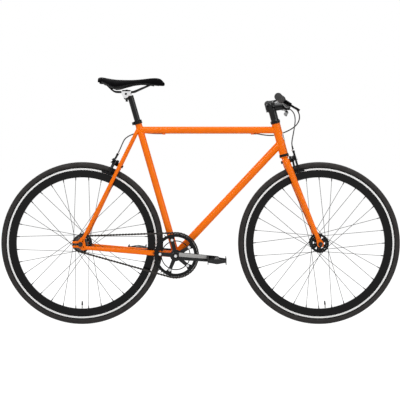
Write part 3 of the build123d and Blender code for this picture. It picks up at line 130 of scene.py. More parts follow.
class Shader:
    """One material's node tree, with short calls for the nodes that the finishes share."""

    def __init__(self, name: str) -> None:
        """Start a material that holds one principled shader.

        Args:
            name: the material's name.
        """
        self.material = bpy.data.materials.new(name)
        self.material.use_nodes = True
        self.tree = self.material.node_tree
        self.surface = self.tree.nodes["Principled BSDF"]
        self.place = self.node("ShaderNodeTexCoord").outputs["Object"]

    def node(self, kind: str) -> bpy.types.Node:
        """Add a node of a kind."""
        return self.tree.nodes.new(kind)

    def plug(self, source: bpy.types.NodeSocket, target: bpy.types.NodeSocket) -> None:
        """Join two sockets."""
        self.tree.links.new(source, target)

    def set(self, **values: float | Colour) -> None:
        """Set constants on the principled shader.

        Args:
            **values: socket names, with an underscore for each space, and their values.
        """
        for key, value in values.items():
            socket = self.surface.inputs[key.replace("_", " ")]
            socket.default_value = (*value, 1.0) if isinstance(value, tuple) else value

    def maths(self, operation: str, *terms: bpy.types.NodeSocket | float) -> bpy.types.NodeSocket:
        """Work out one step of arithmetic.

        Args:
            operation: the Math node's operation.
            *terms: sockets or numbers, in order.

        Returns:
            The result's socket.
        """
        node = self.node("ShaderNodeMath")
        node.operation = operation
        for socket, term in zip(node.inputs, terms):
            if isinstance(term, bpy.types.NodeSocket):
                self.plug(term, socket)
            else:
                socket.default_value = term
        return node.outputs[0]

    def stretched(self, scale: Colour) -> bpy.types.NodeSocket:
        """Scale the object coordinates along each axis.

        Args:
            scale: factor for each axis.

        Returns:
            The scaled coordinates' socket.
        """
        node = self.node("ShaderNodeMapping")
        node.inputs["Scale"].default_value = scale
        self.plug(self.place, node.inputs["Vector"])
        return node.outputs["Vector"]

    def noise(self, scale: float, detail: float = 3.0,
              stretch: Colour | None = None) -> bpy.types.NodeSocket:
        """Soft noise over the surface.

        Args:
            scale: waves per metre.
            detail: octaves.
            stretch: scale along each axis first, for brushed grain.

        Returns:
            The noise value's socket.
        """
        node = self.node("ShaderNodeTexNoise")
        node.inputs["Scale"].default_value = scale
        node.inputs["Detail"].default_value = detail
        self.plug(self.stretched(stretch) if stretch else self.place, node.inputs["Vector"])
        return node.outputs[0]

    def cells(self, scale: float) -> bpy.types.NodeSocket:
        """Pattern of cells over the surface.

        Args:
            scale: cells per metre.

        Returns:
            The socket of the distance to the nearest cell's centre.
        """
        node = self.node("ShaderNodeTexVoronoi")
        node.inputs["Scale"].default_value = scale
        self.plug(self.place, node.inputs["Vector"])
        return node.outputs["Distance"]

    def between(self, factor: bpy.types.NodeSocket, low: float, high: float,
                start: float = 0.3, end: float = 0.7) -> bpy.types.NodeSocket:
        """Map a value onto a range, clamped.

        Args:
            factor: the value.
            low: result at the start.
            high: result at the end.
            start: value that gives low.
            end: value that gives high.

        Returns:
            The mapped value's socket.
        """
        node = self.node("ShaderNodeMapRange")
        for socket, value in zip(node.inputs[1:5], (start, end, low, high)):
            socket.default_value = value
        self.plug(factor, node.inputs[0])
        return node.outputs[0]

    def blend(self, factor: bpy.types.NodeSocket, first: Colour,
              second: Colour) -> bpy.types.NodeSocket:
        """Mix two colours by a factor.

        Args:
            factor: 0 gives the first, 1 the second.
            first: linear colour.
            second: linear colour.

        Returns:
            The colour's socket.
        """
        node = self.node("ShaderNodeMix")
        node.data_type = "RGBA"
        node.inputs[6].default_value = (*first, 1.0)
        node.inputs[7].default_value = (*second, 1.0)
        self.plug(factor, node.inputs[0])
        return node.outputs[2]

    def colour(self, socket: bpy.types.NodeSocket) -> None:
        """Use a socket as the base colour."""
        self.plug(socket, self.surface.inputs["Base Color"])

    def roughness(self, socket: bpy.types.NodeSocket) -> None:
        """Use a socket as the roughness."""
        self.plug(socket, self.surface.inputs["Roughness"])

    def mottle(self, first: Colour, second: Colour, scale: float,
               detail: float = 3.0) -> None:
        """Let the base colour wander between two, with scale in waves per metre."""
        self.colour(self.blend(self.between(self.noise(scale, detail), 0.0, 1.0),
                               first, second))

    def wander(self, low: float, high: float, scale: float, detail: float = 3.0) -> None:
        """Let the roughness wander between two values, with scale in waves per metre."""
        self.roughness(self.between(self.noise(scale, detail), low, high))

    def bump(self, height: bpy.types.NodeSocket, depth: float, strength: float = 0.6) -> None:
        """Raise the surface by a height.

        Args:
            height: a value of about 0 to 1.
            depth: metres that a height of 1 stands for.
            strength: share of the effect that shows.
        """
        node = self.node("ShaderNodeBump")
        node.inputs["Distance"].default_value = depth
        node.inputs["Strength"].default_value = strength
        self.plug(height, node.inputs["Height"])
        self.plug(node.outputs[0], self.surface.inputs["Normal"])

    def radius_from(self, centre: Vector) -> bpy.types.NodeSocket:
        """Distance from an axis across the bicycle.

        Args:
            centre: a point on the axis.

        Returns:
            The distance's socket, in metres.
        """
        parts = self.node("ShaderNodeSeparateXYZ")
        self.plug(self.place, parts.inputs[0])
        across = self.maths("SUBTRACT", parts.outputs[0], centre.x)
        height = self.maths("SUBTRACT", parts.outputs[2], centre.z)
        square = self.maths("ADD", self.maths("MULTIPLY", across, across),
                            self.maths("MULTIPLY", height, height))
        return self.maths("SQRT", square)


@dataclass(frozen=True)
class Finish:
    """A surface finish that makes its own material once."""

    name: str
    colour: Colour

    def dress(self, shader: Shader) -> None:
        """Set up the shader for this finish."""
        raise NotImplementedError

    def material(self) -> bpy.types.Material:
        """Make the material at the finish's first use.

        Returns:
            The finish's material.
        """
        made = bpy.data.materials.get(self.name)
        if made is None:
            shader = Shader(self.name)
            self.dress(shader)
            made = shader.material
        return made


@dataclass(frozen=True)
class GlossPaint(Finish):
    """Wet enamel under lacquer, with a faint orange-peel surface."""

    roughness: float = 0.26
    coat: float = 0.45

    def dress(self, shader: Shader) -> None:
        """Colour drifts slightly in depth, and the lacquer ripples.

        Args:
            shader: the material that takes the finish.
        """
        shader.set(Coat_Weight=self.coat, Coat_Roughness=0.04, Specular_IOR_Level=0.02)
        deep = tuple(c * 0.9 for c in self.colour)
        shader.mottle(self.colour, deep, 14.0)
        shader.wander(self.roughness - 0.05, self.roughness + 0.06, 60.0)
        shader.bump(shader.noise(90.0, 1.0), 0.00002, 0.1)


@dataclass(frozen=True)
class Metal(Finish):
    """Bare or plated metal with fine grain and handling marks."""

    roughness: float = 0.3
    grain: Colour = (1.0, 30.0, 1.0)

    def dress(self, shader: Shader) -> None:
        """Grain runs across its stretched axis, and soft smears change the gloss.

        Args:
            shader: the material that takes the finish.
        """
        shader.set(Metallic=1.0)
        dull = tuple(c * 0.78 for c in self.colour)
        shader.mottle(self.colour, dull, 70.0)
        shader.wander(self.roughness * 0.75, self.roughness * 1.35, 35.0, 4.0)
        shader.bump(shader.noise(160.0, 2.0, self.grain), 0.00004, 0.3)


@dataclass(frozen=True)
class Anodised(Finish):
    """Dyed anodic film over bead-blasted alloy, worn a little paler in places."""

    roughness: float = 0.32
    worn: float = 0.05

    def dress(self, shader: Shader) -> None:
        """A fine blasted surface with soft pale wear.

        Args:
            shader: the material that takes the finish.
        """
        shader.set(Specular_IOR_Level=0.14, Coat_Weight=0.02, Coat_Roughness=0.12)
        pale = tuple(c + self.worn for c in self.colour)
        wear = shader.between(shader.noise(90.0, 5.0), 0.0, 1.0, 0.55, 0.8)
        shader.colour(shader.blend(wear, self.colour, pale))
        shader.wander(self.roughness * 0.8, self.roughness * 1.3, 45.0)
        shader.bump(shader.noise(2600.0, 2.0), 0.00003, 0.35)


@dataclass(frozen=True)
class Banded(Finish):
    """Dark film with a bare turned band between two radii, as on a braked rim."""

    centre: Vector = field(default_factory=Vector)
    track: Colour = (0.85, 0.85, 0.84)
    inner: float = 0.3063
    outer: float = 0.3132

    def dress(self, shader: Shader) -> None:
        """Bare turned metal between two radii, dyed film elsewhere.

        Args:
            shader: the material that takes the finish.
        """
        radius = shader.radius_from(self.centre)
        bare = shader.maths("MULTIPLY", shader.maths("GREATER_THAN", radius, self.inner),
                            shader.maths("LESS_THAN", radius, self.outer))
        shader.colour(shader.blend(bare, self.colour, self.track))
        shader.roughness(shader.between(bare, 0.16, 0.42, 0.0, 1.0))
        lines = shader.maths("SINE", shader.maths("MULTIPLY", radius, 9000.0))
        shader.set(Specular_IOR_Level=0.16)
        shader.bump(shader.maths("MULTIPLY", lines, bare), 0.00003, 0.4)


@dataclass(frozen=True)
class Rubber(Finish):
    """Matt vulcanised rubber with a little dust in its grain."""

    roughness: float = 0.72
    grain: float = 900.0

    def dress(self, shader: Shader) -> None:
        """Dust lies in patches over a fine moulded grain.

        Args:
            shader: the material that takes the finish.
        """
        shader.set(Specular_IOR_Level=0.3)
        dusty = tuple(c * 1.4 + 0.003 for c in self.colour)
        shader.mottle(self.colour, dusty, 30.0, 5.0)
        shader.wander(self.roughness - 0.1, self.roughness + 0.1, 55.0)
        shader.bump(shader.noise(self.grain, 2.0), 0.00012, 0.4)


@dataclass(frozen=True)
class Moulded(Finish):
    """Moulded plastic with a spark-eroded texture."""

    roughness: float = 0.45

    def dress(self, shader: Shader) -> None:
        """Fine even texture with a slight change of gloss.

        Args:
            shader: the material that takes the finish.
        """
        shader.set(Specular_IOR_Level=0.3)
        pale = tuple(c * 1.3 + 0.001 for c in self.colour)
        shader.mottle(self.colour, pale, 25.0)
        shader.wander(self.roughness - 0.06, self.roughness + 0.08, 80.0)
        shader.bump(shader.noise(1500.0, 1.0), 0.00005, 0.35)


@dataclass(frozen=True)
class Vinyl(Finish):
    """Stretched saddle vinyl with a leather grain and a soft sheen."""

    roughness: float = 0.46

    def dress(self, shader: Shader) -> None:
        """Pebbled grain whose valleys are duller and darker.

        Args:
            shader: the material that takes the finish.
        """
        shader.set(Specular_IOR_Level=0.03)
        cells = shader.cells(520.0)
        pale = tuple(c * 1.6 + 0.0004 for c in self.colour)
        shader.colour(shader.blend(shader.between(cells, 1.0, 0.0, 0.1, 0.7),
                                   self.colour, pale))
        shader.wander(self.roughness - 0.08, self.roughness + 0.1, 40.0)
        folds = shader.maths("ADD", shader.maths("MULTIPLY", cells, -1.0),
                             shader.maths("MULTIPLY", shader.noise(1300.0), 0.4))
        shader.bump(folds, 0.00022, 0.5)


PAINT = GlossPaint("orange_enamel", (0.97, 0.178, 0.0005), 0.3, 0.24)
BLACK_ALLOY = Anodised("black_anodised", (0.004, 0.004, 0.0045), 0.24, 0.012)
POLISHED_BLACK = GlossPaint("polished_black", (0.002, 0.002, 0.0023), 0.14, 0.5)
CRANK_BLACK = Metal("crank_black", (0.03, 0.03, 0.031), 0.26)
# Pale copy of the crank's finish on one facet of each arm: a painted highlight.
CRANK_PAINTED_HIGHLIGHT = Anodised("crank_painted_highlight", (0.34, 0.335, 0.33), 0.3, 0.06)
SPOKE_BLACK = Moulded("black_spokes", (0.002, 0.002, 0.002), 0.6)
BLACK_STEEL = GlossPaint("black_lacquer", (0.004, 0.004, 0.0045), 0.2, 0.3)
OXIDE = Metal("black_oxide", (0.05, 0.05, 0.052), 0.38)
SILVER = Metal("turned_alloy", (0.8, 0.8, 0.81), 0.24)
PLATED = Metal("zinc_plate", (0.6, 0.6, 0.62), 0.33)
STAINLESS = Metal("drawn_stainless", (0.5, 0.5, 0.52), 0.3)
CHAIN_STEEL = Metal("oiled_chain_steel", (0.045, 0.041, 0.038), 0.34)
COG_STEEL = Metal("browned_cog_steel", (0.1, 0.095, 0.09), 0.34)
TYRE = Rubber("tyre_tread", (0.0125, 0.0105, 0.0098))
GRIP = Rubber("grip_rubber", (0.005, 0.005, 0.0055), 0.6, 1400.0)
SLEEVE = Moulded("cable_sleeve", (0.012, 0.011, 0.0105), 0.3)
PLASTIC = Moulded("pedal_nylon", (0.006, 0.006, 0.0065), 0.48)
SADDLE_SHELL = Moulded("saddle_shell", (0.003, 0.003, 0.0032), 0.4)
SADDLE_VINYL = Vinyl("saddle_vinyl", (0.0012, 0.001, 0.0013), 0.62)
THREAD = Moulded("saddle_thread", (0.012, 0.012, 0.0125), 0.7)


# ---------------------------------------------------------------- meshes


class Shape:
    """Points and faces of one piece, gathered before it becomes an object.

    The capitals are a socket head's proportions: KEY and CROWN are shares of its radius,
    SHOULDER and FLOOR of its height, and MOUTH is a share of the key's radius.
    """

    KEY = 0.52
    MOUTH = 1.12
    SHOULDER = 0.82
    CROWN = 0.86
    FLOOR = 0.35

    def __init__(self) -> None:
        """Start with nothing."""
        self.points: list[Vector] = []
        self.faces: list[Face] = []

    def loft(self, rings: Sequence[Sequence[Vector]], wrap: bool = False) -> None:
        """Skin a row of rings that have the same number of points.

        Args:
            rings: closed rings of points.
            wrap: join the last ring to the first, where the ends are otherwise capped.
        """
        base, size = len(self.points), len(rings[0])
        for ring in rings:
            self.points.extend(ring)
        last = len(rings) if wrap else len(rings) - 1
        for i in range(last):
            here, there = base + i * size, base + (i + 1) % len(rings) * size
            for j in range(size):
                k = (j + 1) % size
                self.faces.append((here + j, here + k, there + k, there + j))
        if not wrap:
            self.faces.append(tuple(base + j for j in reversed(range(size))))
            end = base + (len(rings) - 1) * size
            self.faces.append(tuple(end + j for j in range(size)))

    def lathe(self, origin: Vector, axis: Vector, profile: Profile, sides: int) -> None:
        """Revolve a profile about an axis.

        Args:
            origin: where the axis starts.
            axis: its direction.
            profile: pairs of distance along the axis and radius.
            sides: points round each ring.
        """
        axis = axis.normalized()
        first = axis.orthogonal().normalized()
        second = axis.cross(first)
        self.loft([circle(origin + axis * along, first * radius, second * radius, sides)
                   for along, radius in profile])

    def rod(self, start: Vector, end: Vector, radius: float, sides: int,
            chamfer: float = 0.0) -> None:
        """Round bar between two points.

        Args:
            start: one end.
            end: the other end.
            radius: its radius.
            sides: facets round it.
            chamfer: size of the bevel at both ends.
        """
        run = end - start
        length = run.length
        profile = [(0.0, radius - chamfer), (chamfer, radius), (length - chamfer, radius),
                   (length, radius - chamfer)]
        self.lathe(start, run, profile if chamfer else [profile[1], profile[2]], sides)

    def tube(self, path: Sequence[Vector], radius: float, sides: int) -> None:
        """Round section carried along an open path without twist.

        Args:
            path: points of the centreline.
            radius: section radius.
            sides: facets round it.
        """
        rings = []
        side = (path[1] - path[0]).orthogonal()
        for i, point in enumerate(path):
            along = (path[min(i + 1, len(path) - 1)] - path[max(i - 1, 0)]).normalized()
            side = (side - along * side.dot(along)).normalized()
            other = along.cross(side)
            rings.append(circle(point, side * radius, other * radius, sides))
        self.loft(rings)

    def socket_bolt(self, seat: Vector, axis: Vector, radius: float, height: float) -> None:
        """Cap screw head with a hexagon socket.

        Args:
            seat: centre of the face that the head sits on.
            axis: direction that the head points.
            radius: head radius.
            height: head height.
        """
        key = radius * self.KEY
        mouth = key * self.MOUTH
        crown = [(0.0, radius), (height * self.SHOULDER, radius),
                 (height, radius * self.CROWN), (height, mouth)]
        socket = [(height, mouth), (height * self.FLOOR, key)]
        self.lathe(seat, axis, crown, 20)
        self.faces.pop()
        self.lathe(seat, axis, socket, 6)
        self.faces.pop(-2)

    def build(self, name: str, sharp: float) -> bpy.types.Object:
        """Make the object.

        Args:
            name: the piece's name.
            sharp: edges that turn more than this many degrees stay crisp.

        Returns:
            The new mesh object.
        """
        mesh = bpy.data.meshes.new(name)
        mesh.from_pydata([tuple(p) for p in self.points], [], self.faces)
        mesh.validate()
        mesh.update()
        mesh.shade_smooth()
        mesh.set_sharp_from_angle(angle=math.radians(sharp))
        made = bpy.data.objects.new(name, mesh)
        bpy.context.scene.collection.objects.link(made)
        return made


def place(piece: bpy.types.Object, body: Body | None, finish: Finish,
          stands_for: Iterable[str] = ()) -> bpy.types.Object:
    """Finish a piece and hang it on its body.

    Args:
        piece: the object.
        body: what it rides on, or none for a piece that bends between two bodies.
        finish: its finish.
        stands_for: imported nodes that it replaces.

    Returns:
        The same object.
    """
    piece.data.materials.clear()
    piece.data.materials.append(finish.material())
    if body is not None:
        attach(piece, body.value)
    if stands_for:
        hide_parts(*stands_for)
    LOG.info("piece %s: %d points", piece.name, len(piece.data.vertices))
    return piece


def spline_path(route: Sequence[Vector], steps: int) -> list[Vector]:
    """Points along the smooth spline that a route controls.

    Args:
        route: control points.
        steps: points for each control point.

    Returns:
        The points in order.
    """
    curve = bpy.data.curves.new("route", "CURVE")
    curve.dimensions = "3D"
    spline = curve.splines.new("NURBS")
    spline.points.add(len(route) - 1)
    for control, point in zip(spline.points, route):
        control.co = (*point, 1.0)
    spline.order_u = 3
    spline.use_endpoint_u = True
    spline.resolution_u = steps
    holder = bpy.data.objects.new("route", curve)
    mesh = bpy.data.meshes.new_from_object(holder)
    path = [vertex.co.copy() for vertex in mesh.vertices]
    bpy.data.objects.remove(holder)
    bpy.data.curves.remove(curve)
    bpy.data.meshes.remove(mesh)
    return path


def paint(finish: Finish, *nodes: str) -> None:
    """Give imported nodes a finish.

    Args:
        finish: what covers them.
        *nodes: the nodes' names.
    """
    material = finish.material()
    for node in nodes:
        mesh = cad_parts[node].data
        if not mesh.materials:
            mesh.materials.append(material)
        for i in range(len(mesh.materials)):
            mesh.materials[i] = material


def soften(width: float, *nodes: str) -> None:
    """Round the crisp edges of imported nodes.

    Args:
        width: how far each bevel reaches, in metres.
        *nodes: the nodes' names.
    """
    for node in nodes:
        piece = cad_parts[node]
        weld = piece.modifiers.new("weld", "WELD")
        weld.merge_threshold = MERGE_GAP
        flat = piece.modifiers.new("flat", "DECIMATE")
        flat.decimate_type = "DISSOLVE"
        flat.angle_limit = FLAT_ANGLE
        bevel = piece.modifiers.new("bevel", "BEVEL")
        bevel.limit_method = "ANGLE"
        bevel.angle_limit = CRISP_ANGLE
        bevel.width = width
        bevel.segments = 2
        bevel.harden_normals = True


def housing(name: str, route: Route, body: Body | None, node: str
            ) -> tuple[bpy.types.Object, list[Vector]]:
    """Make one cable housing.

    Args:
        name: the piece's name.
        route: control points of its centreline.
        body: what it rides on, or none where it bends between two bodies.
        node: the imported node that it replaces.

    Returns:
        The housing and the points along its centreline.
    """
    path = spline_path([Vector(p) for p in route], steps=12)
    shape = Shape()
    shape.tube(path, HOUSING_RADIUS, sides=12)
    piece = shape.build(name, 60.0)
    return place(piece, body, SLEEVE, [node]), path


# ---------------------------------------------------------------- wheels


@dataclass
class Wheel:
    """Spoked wheel: dressed hub and rim, modelled tyre, nipples and spoke heads."""

    end: str
    body: Body
    flange: float
    turn: float = 0.0
    tyre_radius: float = 0.014
    tyre_crown: float = 0.325
    tread_half_angle: float = 62.0
    groove: float = 0.0006
    groove_pinch: float = 0.985
    groove_every: int = 5
    sections: int = 480
    outline_steps: int = 34
    rim_seat: float = 0.31
    bead: float = 0.0083
    rim_edge: float = 0.3178
    rim_gap: float = 0.0006
    spokes: int = 32
    crosses: int = 3
    rim_inner: float = 0.2745
    hole_circle: float = 0.0335
    flange_thickness: float = 0.003
    spoke_radius: float = 0.001
    spoke_gap: float = 0.00005
    outer_reach: float = 0.002
    rim_stagger: float = 0.0011
    head_height: float = 0.0022
    bend_run: tuple[float, float] = (0.006, 0.0015)
    bend_depth: float = 0.0012
    valve_neck: float = 0.259
    valve_share: float = 0.01
    nipple: Profile = ((0.0, 0.0023), (0.004, 0.0023), (0.0045, 0.0019),
                       (0.0115, 0.0019), (0.0125, 0.0012))
    head: Profile = ((0.0, 0.0012), (0.0005, 0.0019), (0.0012, 0.0017), (0.0016, 0.0008))

    def __post_init__(self) -> None:
        """Find the wheel's centre."""
        self.centre = centre_of(f"{self.end}_hub")

    def dress(self) -> None:
        """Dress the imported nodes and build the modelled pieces."""
        paint(BLACK_ALLOY, f"{self.end}_hub")
        paint(SPOKE_BLACK, f"{self.end}_spokes")
        paint(Banded(f"{self.end}_valve_stem", (0.004, 0.004, 0.0045), self.centre,
                     (0.55, 0.55, 0.54), self.valve_neck,
                     self.rim_inner + self.valve_share), f"{self.end}_valve")
        paint(Banded(f"{self.end}_rim_film", (0.003, 0.0028, 0.003), self.centre),
              f"{self.end}_rim")
        self.build_tyre()
        self.build_nipples()
        self.build_spoke_heads()

    def tyre_section(self) -> list[tuple[float, float, bool]]:
        """Outline of the tyre.

        Returns:
            Radius, lateral place and whether the point carries tread, as a closed loop.
        """
        points = [(self.rim_seat, -self.bead, False), (self.rim_edge, -self.bead, False)]
        low = math.degrees(math.asin((self.rim_edge + self.rim_gap - self.tyre_crown)
                                     / self.tyre_radius))
        for i in range(self.outline_steps + 1):
            angle = low + (180 - 2 * low) * i / self.outline_steps
            lateral = -math.cos(math.radians(angle)) * self.tyre_radius
            radius = self.tyre_crown + math.sin(math.radians(angle)) * self.tyre_radius
            points.append((radius, lateral, abs(angle - 90) < self.tread_half_angle))
        points += [(self.rim_edge, self.bead, False), (self.rim_seat, self.bead, False)]
        return points

    def build_tyre(self) -> None:
        """Tyre with a smooth crown line and slanted shoulder grooves."""
        shape = Shape()
        outline = self.tyre_section()
        middle = len(outline) // 2
        rings = []
        for i, angle in enumerate(turns(self.sections)):
            ring = []
            for j, (radius, lateral, tread) in enumerate(outline):
                reach = abs(j - middle)
                if tread and reach > 1 and (i + reach) % self.groove_every == 0:
                    radius -= self.groove
                    lateral *= self.groove_pinch
                ring.append(self.centre + upright(angle, radius, lateral))
            rings.append(ring)
        shape.loft(rings, wrap=True)
        tyre = shape.build(f"{self.end}_tyre_tread", 30.0)
        place(tyre, self.body, TYRE, [f"{self.end}_tyre"])

    def spoke_runs(self) -> list[tuple[Vector, Vector, float, int]]:
        """Where each spoke runs.

        Returns:
            Hub end, rim end, the flange's side and which way the spoke leans.
        """
        runs = []
        lean = 2 * math.pi * self.crosses / (self.spokes / 2)
        beside = self.flange_thickness / 2 + self.spoke_radius + self.spoke_gap
        for k in range(self.spokes):
            side = 1 if k % 2 else -1
            leading = 1 if k % 4 < 2 else -1
            at_rim = math.radians(270 + self.turn + (k + 0.5) * 360 / self.spokes)
            at_hub = at_rim + leading * lean
            face = beside + self.outer_reach if leading > 0 else -beside
            near = upright(at_hub, self.hole_circle, side * (self.flange + face))
            far = upright(at_rim, self.rim_inner, side * self.rim_stagger * (1 + leading))
            runs.append((self.centre + near, self.centre + far, side, leading))
        return runs

    def build_nipples(self) -> None:
        """Nipples that stand out of the rim along each spoke."""
        shape = Shape()
        for near, far, _, _ in self.spoke_runs():
            inward = (near - far).normalized()
            shape.lathe(far - inward * 0.001, inward, self.nipple, 8)
        place(shape.build(f"{self.end}_nipples", 35.0), self.body, BLACK_ALLOY)

    def build_spoke_heads(self) -> None:
        """Bent spoke heads through the flange holes."""
        shape = Shape()
        for near, far, side, leading in self.spoke_runs():
            inward = ACROSS * (-side if leading > 0 else side)
            along = (far - near).normalized()
            tip = near + inward * (self.flange_thickness + self.head_height
                                   + (self.outer_reach if leading > 0 else 0.0))
            bend = [*(near + along * run for run in self.bend_run),
                    near + inward * self.bend_depth, tip]
            shape.tube(bend, self.spoke_radius * 1.02, 8)
            shape.lathe(tip - inward * 0.0006, inward, self.head, 8)
        place(shape.build(f"{self.end}_spoke_heads", 35.0), self.body,
              SPOKE_BLACK)


# ---------------------------------------------------------------- frame


@dataclass
class Weld:
    """Bead where a round tube meets a larger one."""

    start: Vector
    along: Vector
    radius: float
    host_point: Vector
    host_axis: Vector
    host_radius: float
    bead: float = 0.0017
    flat: float = 0.8
    ripples: int = 40
    swell: tuple[float, float, float] = (1.0, 1.09, 1.05)

    def meeting(self, count: int) -> list[Vector]:
        """Loop of points where the tube's skin meets the host's skin.

        Args:
            count: how many points.

        Returns:
            The points in order round the tube.
        """
        along = self.along.normalized()
        axis = self.host_axis.normalized()
        first = along.orthogonal().normalized()
        second = along.cross(first)
        step = along - axis * along.dot(axis)
        loop = []
        for angle in turns(count):
            foot = self.start + (first * math.cos(angle) + second * math.sin(angle)) \
                * self.radius
            gap = foot - self.host_point
            gap -= axis * gap.dot(axis)
            a, b = step.length_squared, 2 * gap.dot(step)
            c = gap.length_squared - self.host_radius ** 2
            inside = max(b * b - 4 * a * c, 0.0)
            loop.append(foot + along * ((-b + math.sqrt(inside)) / (2 * a)))
        return loop

    def add_to(self, shape: Shape) -> None:
        """Lay the rippled bead.

        Args:
            shape: the mesh that gathers the beads.
        """
        count = self.ripples * len(self.swell)
        loop = self.meeting(count)
        axis = self.host_axis.normalized()
        rings = []
        for i, point in enumerate(loop):
            run = (loop[(i + 1) % count] - loop[i - 1]).normalized()
            out = point - self.host_point
            out = (out - axis * out.dot(axis)).normalized()
            other = run.cross(out).normalized()
            size = self.bead * self.swell[i % len(self.swell)]
            rings.append(circle(point, out * size * self.flat, other * size, 8))
        shape.loft(rings, wrap=True)


@dataclass
class FrameSet:
    """Main frame: paint on every tube and the weld beads at the joints."""

    head_radius: float = 0.018
    top_radius: float = 0.0143
    down_radius: float = 0.0159
    seat_radius: float = 0.0143
    shell_radius: float = 0.02
    top_height: float = 0.812
    down_rise: float = 0.0485
    collar_rise: float = 0.0335
    collar_depth: float = 0.006
    collar_half: float = 0.008
    collar_head: tuple[float, float] = (0.0042, 0.0044)
    collar_nut: float = 0.0045
    nut_chamfer: float = 0.0006

    def __post_init__(self) -> None:
        """Find the bottom bracket and the seat tube's upper joint."""
        self.shell = centre_of("bottom_bracket_shell")
        self.seat_up = Vector((-0.2773147, 0, 0.9607792))
        self.seat_rise = (self.top_height - self.shell.z) / self.seat_up.z

    def dress(self) -> None:
        """Paint the frame and lay its welds."""
        paint(PAINT, "head_tube", "top_tube", "down_tube", "seat_tube", "seat_stays",
              "bottom_bracket_shell", "chain_stays", "dropouts", "cable_stops")
        paint(BLACK_ALLOY, "headset_cups", "seat_collar", "bottom_bracket_cups")
        paint(OXIDE, "rear_axle")
        soften(0.0008, "dropouts", "seat_collar")
        self.build_welds()
        self.build_collar_bolt()

    def build_collar_bolt(self) -> None:
        """Socket head and nut at the ends of the seat collar's bolt."""
        shape = Shape()
        behind = self.seat_up.cross(ACROSS)
        seat = (self.shell + self.seat_up * (self.seat_rise + self.collar_rise)
                + behind * (self.seat_radius + self.collar_depth))
        face = ACROSS * self.collar_half
        shape.socket_bolt(seat - face, -ACROSS, *self.collar_head)
        shape.rod(seat + face, seat + face + ACROSS * self.collar_nut, self.collar_nut, 6,
                  self.nut_chamfer)
        place(shape.build("collar_bolt", 30.0), Body.FRAME, OXIDE)

    def build_welds(self) -> None:
        """Beads round the main tubes and at the shell."""
        shell, seat_up = self.shell, self.seat_up
        top_front = HEAD_BASE + HEAD_UP * ((self.top_height - HEAD_BASE.z) / HEAD_UP.z)
        top_back = shell + seat_up * self.seat_rise
        down_front = HEAD_BASE + HEAD_UP * self.down_rise
        back, down = top_back - top_front, shell - down_front
        head = (HEAD_BASE, HEAD_UP, self.head_radius)
        seat = (shell, seat_up, self.seat_radius)
        bracket = (shell, ACROSS, self.shell_radius)
        shape = Shape()
        for weld in (Weld(top_front, back, self.top_radius, *head),
                     Weld(top_back, -back, self.top_radius, *seat),
                     Weld(down_front, down, self.down_radius, *head),
                     Weld(shell, -down, self.down_radius, *bracket),
                     Weld(shell, seat_up, self.seat_radius, *bracket)):
            weld.add_to(shape)
        place(shape.build("frame_welds", 60.0), Body.FRAME, PAINT)


# ---------------------------------------------------------------- saddle


